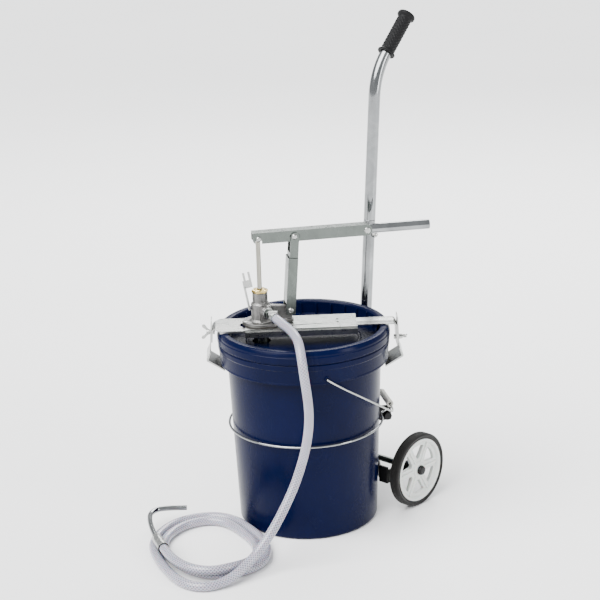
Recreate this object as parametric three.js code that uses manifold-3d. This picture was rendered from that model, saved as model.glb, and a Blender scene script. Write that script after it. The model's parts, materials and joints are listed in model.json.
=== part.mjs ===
// Hand-lever gear oil pump clamped across a 20 litre pail, which stands in a two-wheeled handle trolley.
// Millimetres, +Z up. The origin is the centre of the pail's flat bottom; +X runs along the clamp bar.
import * as THREE from "three";
import { mergeVertices } from "three/addons/utils/BufferGeometryUtils.js";
import Module from "manifold-3d";

const wasm = await Module();
wasm.setup();

// ---- driving dimensions ----
const GAP = 0.3; // between pieces that touch
const ROUND = 32; // sides of the pail, lid and gasket
const TAU = 2 * Math.PI;
const DEG = Math.PI / 180;

const PAIL = { base: 127, body: 139.2, rim: 146, top: 363.6, wall: 2.8 };
const BAND = { low: 305.5, high: 342.8, foot: 152.8, head: 155.2, sheet: 2.6 }; // the pail's neck band
const LID = { collar: 156.4, top: 368, floor: 341, recess: 138, hole: 17, ribs: 30 };
const EAR = { turn: 13.2, z: 315, reach: 155.6, radius: 5.5 };

const BAR = { y: -4, low: -105, high: 96, half: 41, top: 370.8, sheet: 2.2, flange: 360.5, band: 36, rise: 3, lip: 368.3 };
const LEG = {
  left: { out: 165, top: 373.8, sheet: 2.2, splay: 4, end: 347, bolt: 360.5, shift: 4.5, nutTurn: 4 },
  right: { out: 168.5, top: 371.3, sheet: 2.7, splay: 2, end: 328, bolt: 338.5, shift: 0, nutTurn: 62 },
};
const ARM = { bend: 8, width: 39, inEnd: 20 };
const HOOK = { sheet: 2, width: 30, claw: 60, top: 380.5, flare: 325, lip: 312, lipOut: 7.7, tip: -26, tipZ: 294.5 };

const PUMP = { x: -76, turn: 8.7, seat: 375.1, flange: 5.4, body: 17, shoulder: 414, neck: 13.8, top: 432.5 };
const OUTLET = { turn: -68.7, z: 400, face: 26, bore: 4.5 };
const BARREL = { out: 14, bore: 11.5, low: 30, high: 388 };
const ROD = { radius: 4.2, pinZ: 534, piston: 116 };
const LEVER = { left: -10, right: 205, half: 11, sheet: 2, top: 545, drop: 20, tube: 8.65, tubeIn: 172, tubeEnd: 313 };
const LINK = { base: [53, 398], top: [64, 534], lower: 15.5, upper: 13.3, width: 17.5, sheet: 1.9 };

const CARRIER = { turn: 46, tube: 10.85, wall: 1.6, foot: 144, lean: 0.0893 };
const WHEEL = { radius: 70, rim: 60, width: 20, axle: 6, outer: 148, along: 150.25 };
const HANDLE = { joint: 495, bend: 120, knee: 791.5, rise: 45, grip: 85 };
const HOOP_Z = 185;
const HOSE = { radius: 8.25, lift: 8.4 };

// ---- materials ----
const paint = (color, roughness, metalness) => new THREE.MeshStandardMaterial({ color, roughness, metalness });
const LOOK = {
  navy: paint(0x14235a, 0.3, 0),
  zinc: paint(0xd6dad6, 0.35, 0.9),
  steel: paint(0x8f9a98, 0.4, 0.9),
  casting: paint(0x96948f, 0.6, 0.7),
  brass: paint(0xc8a850, 0.3, 1),
  chrome: paint(0xdfe3e6, 0.12, 1),
  black: paint(0x17171a, 0.55, 0.1),
  rubber: paint(0x19191b, 0.8, 0),
  hub: paint(0xcdd2cd, 0.45, 0),
  pvc: paint(0xbebcc8, 0.35, 0),
  seal: paint(0x3a2f28, 0.7, 0),
};

// ---- solids ----
// The closed geometry as a solid, turned the right way out.
function solid(geometry) {
  const bare = geometry.clone();
  for (const name of Object.keys(bare.attributes)) if (name !== "position") bare.deleteAttribute(name);
  const merged = mergeVertices(bare, 1e-3);
  const points = merged.attributes.position.array;
  const faces = new Uint32Array(merged.index.array);
  const at = (i) => new THREE.Vector3().fromArray(points, 3 * i);
  let volume = 0;
  for (let i = 0; i < faces.length; i += 3) {
    volume += at(faces[i]).dot(at(faces[i + 1]).cross(at(faces[i + 2])));
  }
  if (volume < 0) {
    for (let i = 0; i < faces.length; i += 3) [faces[i + 1], faces[i + 2]] = [faces[i + 2], faces[i + 1]];
  }
  return new wasm.Manifold(new wasm.Mesh({ numProp: 3, vertProperties: points, triVerts: faces }));
}

function join(...pieces) {
  return pieces.map(asSolid).reduce((whole, piece) => whole.add(piece));
}

function cut(base, ...tools) {
  return tools.map(asSolid).reduce((left, tool) => left.subtract(tool), asSolid(base));
}

function asSolid(piece) {
  return piece.isBufferGeometry ? solid(piece) : piece;
}

function toGeometry(piece) {
  if (piece.isBufferGeometry) return toGeometry(solid(piece));
  const made = piece.getMesh();
  const geometry = new THREE.BufferGeometry();
  geometry.setAttribute("position", new THREE.BufferAttribute(made.vertProperties, 3));
  geometry.setIndex(new THREE.BufferAttribute(made.triVerts, 1));
  return geometry;
}

function node(name, look, piece) {
  const mesh = new THREE.Mesh(toGeometry(piece), look);
  mesh.name = name;
  return mesh;
}

// A body of revolution about Z; the outline is [radius, z] pairs, closed on itself or on the axis.
function turned(outline, sides = 20) {
  const points = outline.map(([r, z]) => new THREE.Vector2(r, z));
  const onAxis = outline[0][0] === 0 && outline[outline.length - 1][0] === 0;
  if (!onAxis) points.push(points[0].clone());
  return new THREE.LatheGeometry(points, sides).rotateX(Math.PI / 2);
}

const ringOutline = (inner, outer, low, high) => [
  [inner, low],
  [outer, low],
  [outer, high],
  [inner, high],
];

function ring(inner, outer, low, high, sides = 20) {
  return turned(ringOutline(inner, outer, low, high), sides);
}

// A round bar from one point to another.
function bar(radius, from, to, sides = 12) {
  const start = new THREE.Vector3(...from);
  const way = new THREE.Vector3(...to).sub(start);
  const turn = new THREE.Quaternion().setFromUnitVectors(new THREE.Vector3(0, 1, 0), way.clone().normalize());
  const middle = start.clone().addScaledVector(way, 0.5);
  return new THREE.CylinderGeometry(radius, radius, way.length(), sides)
    .applyQuaternion(turn)
    .translate(middle.x, middle.y, middle.z);
}

function block([x0, y0, z0], [x1, y1, z1]) {
  const box = new THREE.BoxGeometry(x1 - x0, y1 - y0, z1 - z0);
  return box.translate((x0 + x1) / 2, (y0 + y1) / 2, (z0 + z1) / 2);
}

// An outline in X and Z, pushed along Y from y0 to y1.
function sidePlate(outline, y0, y1) {
  const shape = Array.isArray(outline) ? new THREE.Shape(outline.map(([x, z]) => new THREE.Vector2(x, z))) : outline;
  return new THREE.ExtrudeGeometry(shape, { depth: y1 - y0, bevelEnabled: false, curveSegments: 8 })
    .rotateX(Math.PI / 2)
    .translate(0, y1, 0);
}

// An outline in X and Y, pushed up from z0 to z1.
function flatPlate(shape, z0, z1, curveSegments = 8) {
  const depth = z1 - z0;
  return new THREE.ExtrudeGeometry(shape, { depth, bevelEnabled: false, curveSegments }).translate(0, 0, z0);
}

function circleShape(radius, sides) {
  const turn = (i) => (i * TAU) / sides;
  const corner = (_, i) => new THREE.Vector2(radius * Math.cos(turn(i)), radius * Math.sin(turn(i)));
  return new THREE.Shape(Array.from({ length: sides }, corner));
}

// A round section swept through the points.
function swept(points, radius, steps, sides = 8, tension = 0.5) {
  const list = points.map((p) => new THREE.Vector3(...p));
  const path = new THREE.CatmullRomCurve3(list, false, "centripetal", tension);
  return new THREE.ExtrudeGeometry(circleShape(radius, sides), { steps, extrudePath: path, bevelEnabled: false });
}

// A strip of sheet round a centre, from one angle to another, standing from low to high.
function arcStrip(inner, sheet, from, to, low, high, steps) {
  const shape = new THREE.Shape();
  shape.absarc(0, 0, inner, from * DEG, to * DEG, false);
  shape.absarc(0, 0, inner + sheet, to * DEG, from * DEG, true);
  return flatPlate(shape, low, high, steps);
}

const polar = (radius, degrees) => [radius * Math.cos(degrees * DEG), radius * Math.sin(degrees * DEG)];

// ---- pail, lid and gasket ----
function pail() {
  const w = PAIL.wall;
  const shell = turned(
    [
      [0, 0],
      [PAIL.base - 4, 0],
      [PAIL.base, 4],
      [PAIL.body, 302],
      [PAIL.body + 2, BAND.high - 8],
      [BAND.head - BAND.sheet, BAND.high - 3],
      [BAND.foot - BAND.sheet, BAND.low],
      [BAND.foot, BAND.low],
      [BAND.head - 1.1, BAND.high - 10.5],
      [BAND.head, BAND.high - 9],
      [BAND.head, BAND.high - 1],
      [BAND.head - 1, BAND.high],
      [PAIL.rim, BAND.high],
      [PAIL.rim, PAIL.top],
      [PAIL.rim - w, PAIL.top],
      [PAIL.rim - w, BAND.high],
      [PAIL.body + 2 - w, BAND.high - 8],
      [PAIL.body - w, 300],
      [PAIL.base - w, 6],
      [PAIL.base - w - 3, 3],
      [0, 3],
    ],
    ROUND,
  );
  const ears = [-1, 1].map((side) => {
    const across = (y) => [0, side * y, EAR.z];
    const boss = bar(EAR.radius, across(BAND.foot - 1), across(EAR.reach)).rotateZ(EAR.turn * DEG);
    const hole = bar(2.8, across(BAND.foot - 6), across(EAR.reach + 1)).rotateZ(EAR.turn * DEG);
    return { boss, hole };
  });
  return cut(join(shell, ...ears.map((ear) => ear.boss)), ...ears.map((ear) => ear.hole));
}

function lid() {
  const inside = PAIL.rim + 1;
  const body = turned(
    [
      [0, LID.floor],
      [LID.recess - 1.5, LID.floor],
      [LID.recess, LID.floor + 2],
      [LID.recess + 1, LID.top - 2],
      [LID.recess + 3, LID.top],
      [151, LID.top],
      [152.5, LID.top - 1],
      [LID.collar - 1, 361],
      [LID.collar, 355],
      [LID.collar, BAND.high + 2],
      [LID.collar - 1, BAND.high + 0.6],
      [inside + 1, BAND.high + 0.6],
      [inside, BAND.high + 1.6],
      [inside, LID.top - 2],
      [LID.recess + 4, LID.top - 2],
      [LID.recess + 2.6, LID.floor - 1],
      [LID.recess, LID.floor - 2.4],
      [0, LID.floor - 2.4],
    ],
    ROUND,
  );
  const [x, y] = [PUMP.x, BAR.y];
  return cut(join(body, ...lidRibs()), bar(LID.hole, [x, y, LID.floor - 10], [x, y, LID.floor + 10], 20));
}

// The ribs that stiffen the wall of the lid's recess.
function lidRibs() {
  const outline = [
    [LID.recess - 5, LID.floor - 1],
    [LID.recess + 1.5, LID.floor - 1],
    [LID.recess + 1.5, LID.top - 4],
    [LID.recess - 1.5, LID.top - 4],
  ];
  const angle = (i) => ((i + 0.5) * TAU) / LID.ribs;
  return Array.from({ length: LID.ribs }, (_, i) => sidePlate(outline, -1.5, 1.5).rotateZ(angle(i)));
}

const lidGasket = () => ring(PAIL.rim - 2.8, PAIL.rim, PAIL.top + GAP, LID.top - 2.3, ROUND);

// ---- clamp bar, its sliding arm and the two hooks ----
function clampChannel() {
  const { half, top, sheet, flange, band, rise, low, high } = BAR;
  const outer = [
    [-half, flange],
    [-half, top],
    [-band, top],
    [-band, top + rise],
    [band, top + rise],
    [band, top],
    [half, top],
    [half, flange],
  ];
  const [under, inBand, inHalf] = [top - sheet, band - sheet, half - sheet];
  const inner = [
    [inHalf, flange],
    [inHalf, under],
    [inBand, under],
    [inBand, under + rise],
    [-inBand, under + rise],
    [-inBand, under],
    [-inHalf, under],
    [-inHalf, flange],
  ];
  const shape = new THREE.Shape([...outer, ...inner].map(([y, z]) => new THREE.Vector2(y, z)));
  const channel = new THREE.ExtrudeGeometry(shape, { depth: high - low, bevelEnabled: false })
    .rotateX(Math.PI / 2)
    .rotateZ(Math.PI / 2)
    .translate(low, BAR.y, 0);
  const tall = [top - 10, top + 10];
  const slots = [-8, 8].map((y) => block([60, BAR.y + y - 3, tall[0]], [64, BAR.y + y + 3, tall[1]]));
  const tapped = flangeHoles(2.9, ...tall).map((hole) => hole.rotateZ(PUMP.turn * DEG).translate(PUMP.x, BAR.y, 0));
  return cut(join(channel, barEnd()), barrelSlot(...tall), ...slots, ...tapped);
}

// The pump's barrel goes through a slot with round ends, longer than the barrel is wide.
function barrelSlot(low, high) {
  const [radius, reach] = [BARREL.out + 1.5, 23];
  const round = (x) => bar(radius, [x, BAR.y, low], [x, BAR.y, high], 20);
  const middle = block([PUMP.x - reach, BAR.y - radius, low], [PUMP.x, BAR.y + radius, high]);
  return join(round(PUMP.x), round(PUMP.x - reach), middle);
}

// Past the channel's left end the bar's raised plate runs on with short lips, narrows and turns down.
function barEnd() {
  const { band, sheet, low, lip } = BAR;
  const { top, out } = LEG.left;
  const [start, narrow, half] = [-low - 6, 150, 20];
  const strip = bentStrip(LEG.left, start, -band, band);
  const lips = [-1, 1].map((side) => {
    const y = [side * band, side * (band - sheet)].sort((p, q) => p - q);
    return block([start, y[0], lip], [narrow, y[1], top - 1]);
  });
  const plan = new THREE.Shape();
  plan.moveTo(start, -band);
  plan.lineTo(narrow, -band);
  plan.lineTo(out - 4, -half);
  plan.lineTo(out + 20, -half);
  plan.lineTo(out + 20, half);
  plan.lineTo(out - 4, half);
  plan.lineTo(narrow, band);
  plan.lineTo(start, band);
  return place(join(strip, ...lips).intersect(solid(flatPlate(plan, LEG.left.end - 20, top + 5))), -1);
}

// A strip along X that turns down at its outer end, with the bolt's hole through the leg.
function bentStrip(leg, inEnd, y0, y1) {
  const { out, top, sheet, splay, end, bolt } = leg;
  const { bend } = ARM;
  const [x, z] = [out - bend, top - bend];
  const [across, up] = polar(1, splay);
  const foot = (reach) => [x + reach * across + (z - end) * up, end + reach * up];
  const shape = new THREE.Shape();
  shape.moveTo(inEnd, top);
  shape.absarc(x, z, bend, 90 * DEG, splay * DEG, true);
  shape.lineTo(...foot(bend));
  shape.lineTo(...foot(bend - sheet));
  shape.absarc(x, z, bend - sheet, splay * DEG, 90 * DEG, false);
  shape.lineTo(inEnd, top - sheet);
  const hole = splayed(leg, bar(3.3, [out - 10, 0, bolt], [out + 10, 0, bolt]));
  return cut(sidePlate(shape, y0, y1), hole);
}

// Turns a piece of a leg about the centre of its bend, so that the leg leans outwards at its foot.
function splayed({ out, top, splay }, piece) {
  const [x, z] = [out - ARM.bend, top - ARM.bend];
  return toGeometry(piece).translate(-x, 0, -z).rotateY(-splay * DEG).translate(x, 0, z);
}

// The right arm slides in the bar's raised band and turns down outside the lid.
function clampArm() {
  return place(bentStrip(LEG.right, ARM.inEnd, -ARM.width / 2, ARM.width / 2), 1);
}

// A hook strip outside the leg, ending in a claw that reaches in under the pail's neck band.
function hook(side, leg) {
  const { sheet, width, claw } = HOOK;
  const inner = leg.out + GAP;
  const at = (height) => height + leg.shift;
  const [top, flare, lip, tipZ] = [HOOK.top, HOOK.flare, HOOK.lip, HOOK.tipZ].map(at);
  const [lipOut, tip] = [leg.out + HOOK.lipOut, leg.out + HOOK.tip];
  const strip = [
    [inner, top],
    [inner + sheet, top],
    [inner + sheet, flare],
    [inner, flare],
  ];
  const clawSide = [
    [inner, flare + 1],
    [inner + sheet, flare + 1],
    [lipOut, lip + 1],
    [lipOut - 0.5, lip - 2],
    [tip + 0.6, tipZ - 2],
    [tip, tipZ],
    [lipOut - 3.4, lip],
  ];
  const slot = block([inner - 1, -3.3, leg.bolt - 9], [inner + sheet + 1, 3.3, leg.bolt + 18]);
  const plate = join(
    cut(sidePlate(strip, -width / 2, width / 2), slot),
    sidePlate(clawSide, -claw / 2, claw / 2),
  );
  return place(splayed(leg, plate), side);
}

function hookBolt(side, leg) {
  const inner = leg.out - leg.sheet;
  const z = leg.bolt;
  const head = bar(4.6, [inner - 3.6, 0, z], [inner - GAP, 0, z], 6);
  return place(splayed(leg, join(head, bar(2.9, [inner - 1, 0, z], [leg.out + 8, 0, z]))), side);
}

// A round hub with two ears that splay outwards.
function wingNut(side, leg) {
  const start = leg.out + HOOK.sheet + 2 * GAP;
  const hub = bar(4.6, [start, 0, 0], [start + 7, 0, 0], 14);
  const wing = (up) => {
    const outline = [
      [start + 1.5, up * 2],
      [start + 7, up * 2],
      [start + 14.5, up * 9],
      [start + 15.5, up * 12],
      [start + 13, up * 14],
      [start + 8.5, up * 11],
    ];
    return sidePlate(outline, -1.3, 1.3);
  };
  const nut = cut(join(hub, wing(1), wing(-1)), bar(3.2, [start - 1, 0, 0], [start + 17, 0, 0]));
  const turned = toGeometry(nut).rotateX(leg.nutTurn * DEG).translate(0, 0, leg.bolt);
  return place(splayed(leg, turned), side);
}

// Mirrors a piece made for the right side to the left, and lays it on the bar's centre line.
function place(piece, side) {
  const geometry = toGeometry(piece);
  if (side < 0) geometry.rotateZ(Math.PI);
  return geometry.translate(0, BAR.y, 0);
}

// ---- pump: everything in the pump's own frame, its axis on Z and the lever along +X ----
const SCREWS = [
  { turn: -52, reach: 29, lobe: 9 },
  { turn: 52, reach: 29, lobe: 9 },
  { turn: 180, reach: 27, lobe: 6.6 },
];
const WAIST = 31; // radius of the flange between its lobes

// A round flange with a lobe for each screw.
function flangeShape() {
  const lean = ({ reach, lobe }) => Math.acos((WAIST - lobe) / reach) / DEG;
  const shape = new THREE.Shape();
  SCREWS.forEach((screw, i) => {
    const [x, y] = polar(screw.reach, screw.turn);
    const [from, to] = [screw.turn - lean(screw), screw.turn + lean(screw)];
    const next = SCREWS[i + 1] ?? { ...SCREWS[0], turn: SCREWS[0].turn + 360 };
    shape.absarc(x, y, screw.lobe, from * DEG, to * DEG, false);
    shape.absarc(0, 0, WAIST, to * DEG, (next.turn - lean(next)) * DEG, false);
  });
  return shape;
}

function flangeHoles(radius, low, high) {
  return SCREWS.map(({ turn, reach }) => {
    const [x, y] = polar(reach, turn);
    return bar(radius, [x, y, low], [x, y, high], 8);
  });
}

// Flat-headed screws lie flush in the flange.
function flangeScrew({ turn, reach }) {
  const [x, y] = polar(reach, turn);
  const outline = [
    [0, BAR.top + BAR.rise - BAR.sheet + GAP],
    [2.6, BAR.top + BAR.rise - BAR.sheet + GAP],
    [2.6, flangeTop - 2.6],
    [4.6, flangeTop - 0.6],
    [4.6, flangeTop - 0.1],
    [0, flangeTop - 0.1],
  ];
  return turned(outline, 10).translate(x, y, 0);
}

function countersinks() {
  const outline = [
    [0, PUMP.seat - 1],
    [3.2, PUMP.seat - 1],
    [3.2, flangeTop - 2.6],
    [5, flangeTop - 0.8],
    [5, flangeTop + 1],
    [0, flangeTop + 1],
  ];
  return SCREWS.map(({ turn, reach }) => turned(outline, 10).translate(...polar(reach, turn), 0));
}

const seatTop = PUMP.seat - GAP;
const flangeTop = PUMP.seat + PUMP.flange;

function flangeGasket() {
  const low = BAR.top + BAR.rise + GAP;
  const hole = bar(BARREL.out + 1, [0, 0, low - 1], [0, 0, seatTop + 1], 20);
  return cut(flatPlate(flangeShape(), low, seatTop, 4), hole, ...flangeHoles(3.6, low - 1, seatTop + 1));
}

const outletAt = (reach, z = OUTLET.z) => [...polar(reach, OUTLET.turn), z];

function pumpBody() {
  const { seat, body, shoulder, neck, top } = PUMP;
  const column = turned(
    [
      [0, seat],
      [22, seat],
      [body + 3, flangeTop + 0.5],
      [body, flangeTop + 4],
      [body, shoulder - 2],
      [body - 2, shoulder],
      [neck, shoulder],
      [neck, top],
      [0, top],
    ],
    20,
  );
  const boss = block([4, -10, flangeTop - 2], [22, 10, OUTLET.z + 11]).rotateZ(OUTLET.turn * DEG);
  const [baseX, baseZ] = LINK.base;
  const web = sidePlate(
    [
      [10, flangeTop - 3],
      [baseX + 3, flangeTop - 3],
      [baseX + 6, baseZ],
      [baseX, baseZ + 6],
      [10, baseZ + 11],
    ],
    -5,
    5,
  );
  const foot = block([10, -9, PUMP.seat + 0.5], [baseX + 6, 9, PUMP.seat + 5]);
  const eye = bar(7, [baseX, -12.8, baseZ], [baseX, 12.8, baseZ], 14);
  const whole = join(column, flatPlate(flangeShape(), seat, flangeTop, 4), boss, bar(11, outletAt(4), outletAt(OUTLET.face), 14));
  return cut(
    join(whole, web, foot, eye),
    bar(BARREL.out + GAP, [0, 0, seat - 1], [0, 0, BARREL.high + GAP], 20),
    bar(BARREL.bore, [0, 0, BARREL.high - 1], [0, 0, shoulder - 4], 16),
    bar(9, [0, 0, shoulder - 1], [0, 0, top + 1], 16),
    bar(ROD.radius + 0.4, [0, 0, shoulder - 6], [0, 0, top]),
    bar(OUTLET.bore, outletAt(2), outletAt(OUTLET.face + 1), 10),
    bar(3.3, [baseX, -20, baseZ], [baseX, 20, baseZ]),
    ...countersinks(),
  );
}

const glandPacking = () => ring(ROD.radius + 0.4, 8.6, PUMP.shoulder - GAP, PUMP.shoulder + 9, 16);

function glandNut() {
  const plug = PUMP.shoulder + 9.4;
  const low = PUMP.top + GAP;
  return turned(
    [
      [ROD.radius + 0.4, plug],
      [8.5, plug],
      [8.5, low],
      [15.2, low],
      [15.2, low + 4.6],
      [13.6, low + 6],
      [ROD.radius + 0.4, low + 6],
    ],
    20,
  );
}

const pumpCylinder = () => ring(BARREL.bore, BARREL.out, BARREL.low, BARREL.high, 20);

function footValveBody() {
  return turned(
    [
      [3.5, 16],
      [BARREL.out, 16],
      [BARREL.out, BARREL.low - GAP],
      [BARREL.bore - GAP, BARREL.low - GAP],
      [BARREL.bore - GAP, 42],
      [3.8, 42],
      [3.8, 40],
      [7.4, 38.5],
      [7.4, 25],
      [3.5, 22],
    ],
    20,
  );
}

const footValveBall = () => new THREE.SphereGeometry(5.4, 12, 8).translate(0, 0, 26.9);

function suctionStrainer() {
  const cup = turned(
    [
      [0, 4],
      [15, 4],
      [15, 15.6],
      [13.8, 15.6],
      [13.8, 5.2],
      [0, 5.2],
    ],
    20,
  );
  const slits = [0, 60, 120].map((turn) => block([-20, -1.5, 7], [20, 1.5, 13]).rotateZ(turn * DEG));
  return cut(cup, ...slits);
}

function outletFitting() {
  const seat = OUTLET.face + GAP;
  const pieces = [
    bar(9.5, outletAt(seat), outletAt(seat + 2), 16),
    bar(8, outletAt(seat + 1), outletAt(seat + 9), 6),
    bar(5, outletAt(seat + 8), outletAt(seat + 17.5, OUTLET.z - 2), 10),
  ];
  return cut(join(...pieces), bar(3, outletAt(seat - 1), outletAt(seat + 10), 8));
}

// The rod with its top eye, which the lever's pin goes through.
function pistonRod() {
  const eye = join(
    bar(ROD.radius, [0, 0, ROD.piston], [0, 0, ROD.pinZ - 2], 12),
    bar(6, [0, -4, ROD.pinZ], [0, 4, ROD.pinZ], 12),
  );
  return cut(eye, bar(3.3, [0, -6, ROD.pinZ], [0, 6, ROD.pinZ]));
}

function rodPin() {
  const half = LEVER.half + 0.6;
  const head = (side) => bar(4.6, [0, side * half, ROD.pinZ], [0, side * (half + 2.6), ROD.pinZ], 10);
  return join(bar(3, [0, -half - 1, ROD.pinZ], [0, half + 1, ROD.pinZ], 10), head(1), head(-1));
}

// The piston hangs below the rod's end; its discharge valve ball sits on a seat inside it.
function piston() {
  const high = ROD.piston - GAP;
  return turned(
    [
      [3, high - 26],
      [10.9, high - 26],
      [10.9, high - 20],
      [9.4, high - 20],
      [9.4, high - 13],
      [10.9, high - 13],
      [10.9, high],
      [0, high],
      [0, high - 6],
      [5.9, high - 8],
      [5.9, high - 19],
      [3, high - 22],
    ],
    16,
  );
}

function pistonCup() {
  const high = ROD.piston - GAP;
  return ring(9.7, BARREL.bore - 0.15, high - 19.7, high - 13.3, 20);
}

const pistonBall = () => new THREE.SphereGeometry(4.4, 10, 8).translate(0, 0, ROD.piston - 17.2);

// The inverted U-section lever, notched round the rod and slotted round the link's pin.
function leverChannel() {
  const { left, right, half, sheet, top, drop } = LEVER;
  const side = new THREE.Shape();
  side.moveTo(left + 4, top - drop);
  side.lineTo(right - 9, top - drop);
  side.absarc(right - 9, top - drop / 2, drop / 2, -90 * DEG, 90 * DEG, false);
  side.lineTo(left, top);
  side.lineTo(left, top - drop + 5);
  const channel = cut(
    sidePlate(side, -half, half),
    block([left - 1, -half + sheet, top - drop - 1], [right + 1, half - sheet, top - sheet]),
  );
  const [pinX, pinZ] = LINK.top;
  const pinSlot = join(
    bar(5.2, [pinX - 3, -20, pinZ], [pinX - 3, 20, pinZ]),
    bar(5.2, [pinX + 5.5, -20, pinZ], [pinX + 5.5, 20, pinZ]),
    block([pinX - 3, -20, pinZ - 5.2], [pinX + 5.5, 20, pinZ + 5.2]),
  );
  return cut(
    channel,
    bar(3.3, [0, -20, ROD.pinZ], [0, 20, ROD.pinZ]),
    block([-6, -20, top - drop - 1], [6, -5, top - drop + 6]),
    bar(3.3, [right - 8, -20, top - 10.7], [right - 8, 20, top - 10.7]),
    pinSlot,
  );
}

function leverTube() {
  const z = LEVER.top - 10.7;
  const whole = bar(LEVER.tube, [LEVER.tubeIn, 0, z], [LEVER.tubeEnd, 0, z], 16);
  const hollow = bar(LEVER.tube - 1.8, [LEVER.tubeIn - 1, 0, z], [LEVER.tubeEnd + 1, 0, z], 16);
  return cut(whole, hollow, bar(3.3, [LEVER.right - 8, -20, z], [LEVER.right - 8, 20, z]));
}

function leverRivet() {
  const [x, z, half] = [LEVER.right - 8, LEVER.top - 10.7, LEVER.half + GAP];
  const head = (side) => bar(5.6, [x, side * half, z], [x, side * (half + 2.2), z], 12);
  return join(bar(3, [x, -half - 1, z], [x, half + 1, z], 10), head(1), head(-1));
}

// The link's pieces are drawn upright from the base pivot, then leaned to reach the lever's pin.
const linkLean = Math.atan2(LINK.top[0] - LINK.base[0], LINK.top[1] - LINK.base[1]);
const linkLength = Math.hypot(LINK.top[0] - LINK.base[0], LINK.top[1] - LINK.base[1]);

function leaned(piece) {
  return toGeometry(piece).rotateY(linkLean).translate(LINK.base[0], 0, LINK.base[1]);
}

function linkCheeks(outer, low, high, [x0, x1]) {
  const shell = block([x0, -outer, low], [x1, outer, high]);
  return cut(shell, block([x0 - 1, -outer + LINK.sheet, low - 1], [x1 + 1, outer - LINK.sheet, high + 1]));
}

function linkLower() {
  const w = LINK.width / 2;
  const web = block([-w, -LINK.lower, 12], [-w + LINK.sheet, LINK.lower, 96]);
  const hole = bar(3.3, [0, -20, 0], [0, 20, 0]);
  return leaned(cut(join(linkCheeks(LINK.lower, -8, 97, [-w, w]), web), hole));
}

function linkUpper() {
  const across = [-LINK.width / 2 + LINK.sheet + GAP, LINK.width / 2];
  const middle = (across[0] + across[1]) / 2;
  const ends = [-1, 1].map((side) => {
    const y = [side * LINK.upper, side * (LINK.upper - LINK.sheet)];
    return bar((across[1] - across[0]) / 2, [middle, y[0], linkLength], [middle, y[1], linkLength], 14);
  });
  const cheeks = linkCheeks(LINK.upper, 62, linkLength, across);
  const web = block([across[0], -LINK.upper, 64], [across[0] + LINK.sheet, LINK.upper, 106]);
  return leaned(cut(join(cheeks, web, ...ends), bar(3.3, [0, -20, linkLength], [0, 20, linkLength])));
}

function crossPin([x, z], half, headRadius) {
  const head = (side) => bar(headRadius, [x, side * half, z], [x, side * (half + 2.4), z], 10);
  return join(bar(3, [x, -half - 1, z], [x, half + 1, z], 10), head(1), head(-1));
}

// The forked rest that holds the nozzle when the pump isn't in use.
function nozzleRest() {
  const leg = block([-2, -4.5, -8], [1.6, 4.5, 36]);
  const [start, prong, gap] = [0.6, 4, 5.6];
  const end = start + 2 * prong + gap;
  const plate = block([-2, -1.4, 33], [end, 1.4, 47]);
  const prongs = [start, end - prong].map((x) => block([x, -1.4, 45], [x + prong, 1.4, 62]));
  return toGeometry(join(leg, plate, ...prongs)).rotateY(-10 * DEG).translate(-20.8, 0, 409);
}

// ---- hose: out of the pump, down over the pail's front, two turns on the floor, and the nozzle ----
const HOSE_HANG = [
  [-53.7, -42.6, 397.6],
  [-46, -56, 396],
  [-35, -78, 393],
  [-24, -101, 390],
  [-17, -124, 386.8],
  [-12.5, -144, 382.3],
  [-9.5, -165.4, 368.2],
  [-7, -179, 346.3],
  [-4, -184, 321],
  [-1, -185.5, 295],
  [1, -186, 259],
  [-5.5, -190, 208],
  [-23.5, -201, 154],
  [-36, -212, 128],
  [-63, -230, 82],
  [-89.5, -243, 46],
  [-114, -266, 28],
  [-140, -289, 15],
];
const HOSE_FLOOR = [
  [-166, -304, HOSE.lift + 1],
  [-197, -310, HOSE.lift],
  [-232, -286, HOSE.lift],
  [-260, -230, HOSE.lift],
  [-280, -170, HOSE.lift],
  [-284, -128, HOSE.lift],
  [-271, -82, HOSE.lift],
  [-238, -40, HOSE.lift],
  [-178, -23, HOSE.lift],
  [-136, -48, HOSE.lift],
  [-114, -83, HOSE.lift],
  [-96, -116, HOSE.lift],
  [-80, -167, HOSE.lift],
  [-86, -220, HOSE.lift],
  [-114, -252, HOSE.lift],
  [-150, -265, HOSE.lift],
  [-186, -262, HOSE.lift],
  [-222, -238, HOSE.lift],
  [-246, -200, HOSE.lift],
  [-262, -160, HOSE.lift],
  [-265, -126, HOSE.lift],
  [-254, -92, HOSE.lift],
  [-229, -59, HOSE.lift],
  [-184, -42, HOSE.lift],
  [-149, -61, HOSE.lift],
  [-128, -93, HOSE.lift],
  [-111, -124, HOSE.lift],
  [-98, -168, HOSE.lift],
  [-103, -206, HOSE.lift + 1],
  [-118, -240, HOSE.lift + 7],
  [-142, -268, HOSE.lift + 15],
  [-176, -283, HOSE.lift + 16.5],
  [-211, -272, HOSE.lift + 16.5],
  [-243, -235, HOSE.lift + 16.5],
  [-262, -190, HOSE.lift + 17.5],
];
const NOZZLE = [
  [-280.5, -137, 28],
  [-287, -108, 29],
  [-292, -72, 29.5],
  [-291, -50, 29.5],
  [-281, -34, 29.5],
  [-262, -28, 29],
  [-226, -26, 28],
];

function hoseRun() {
  return swept([...HOSE_HANG, ...HOSE_FLOOR], HOSE.radius, 64, 8);
}

// The band clamp round the hose where it leaves the outlet.
function hoseClamp() {
  const start = new THREE.Vector3(...HOSE_HANG[0]);
  const way = new THREE.Vector3(...HOSE_HANG[1]).sub(start).normalize();
  const at = (distance) => start.clone().addScaledVector(way, distance).toArray();
  const [x, y, z] = at(5);
  const screw = block([x - 11, y - 3, z + 6.5], [x + 5, y + 3, z + 12.5]);
  return cut(join(bar(10.3, at(1.5), at(8.5), 16), screw), bar(9.1, at(0), at(14), 16));
}

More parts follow.
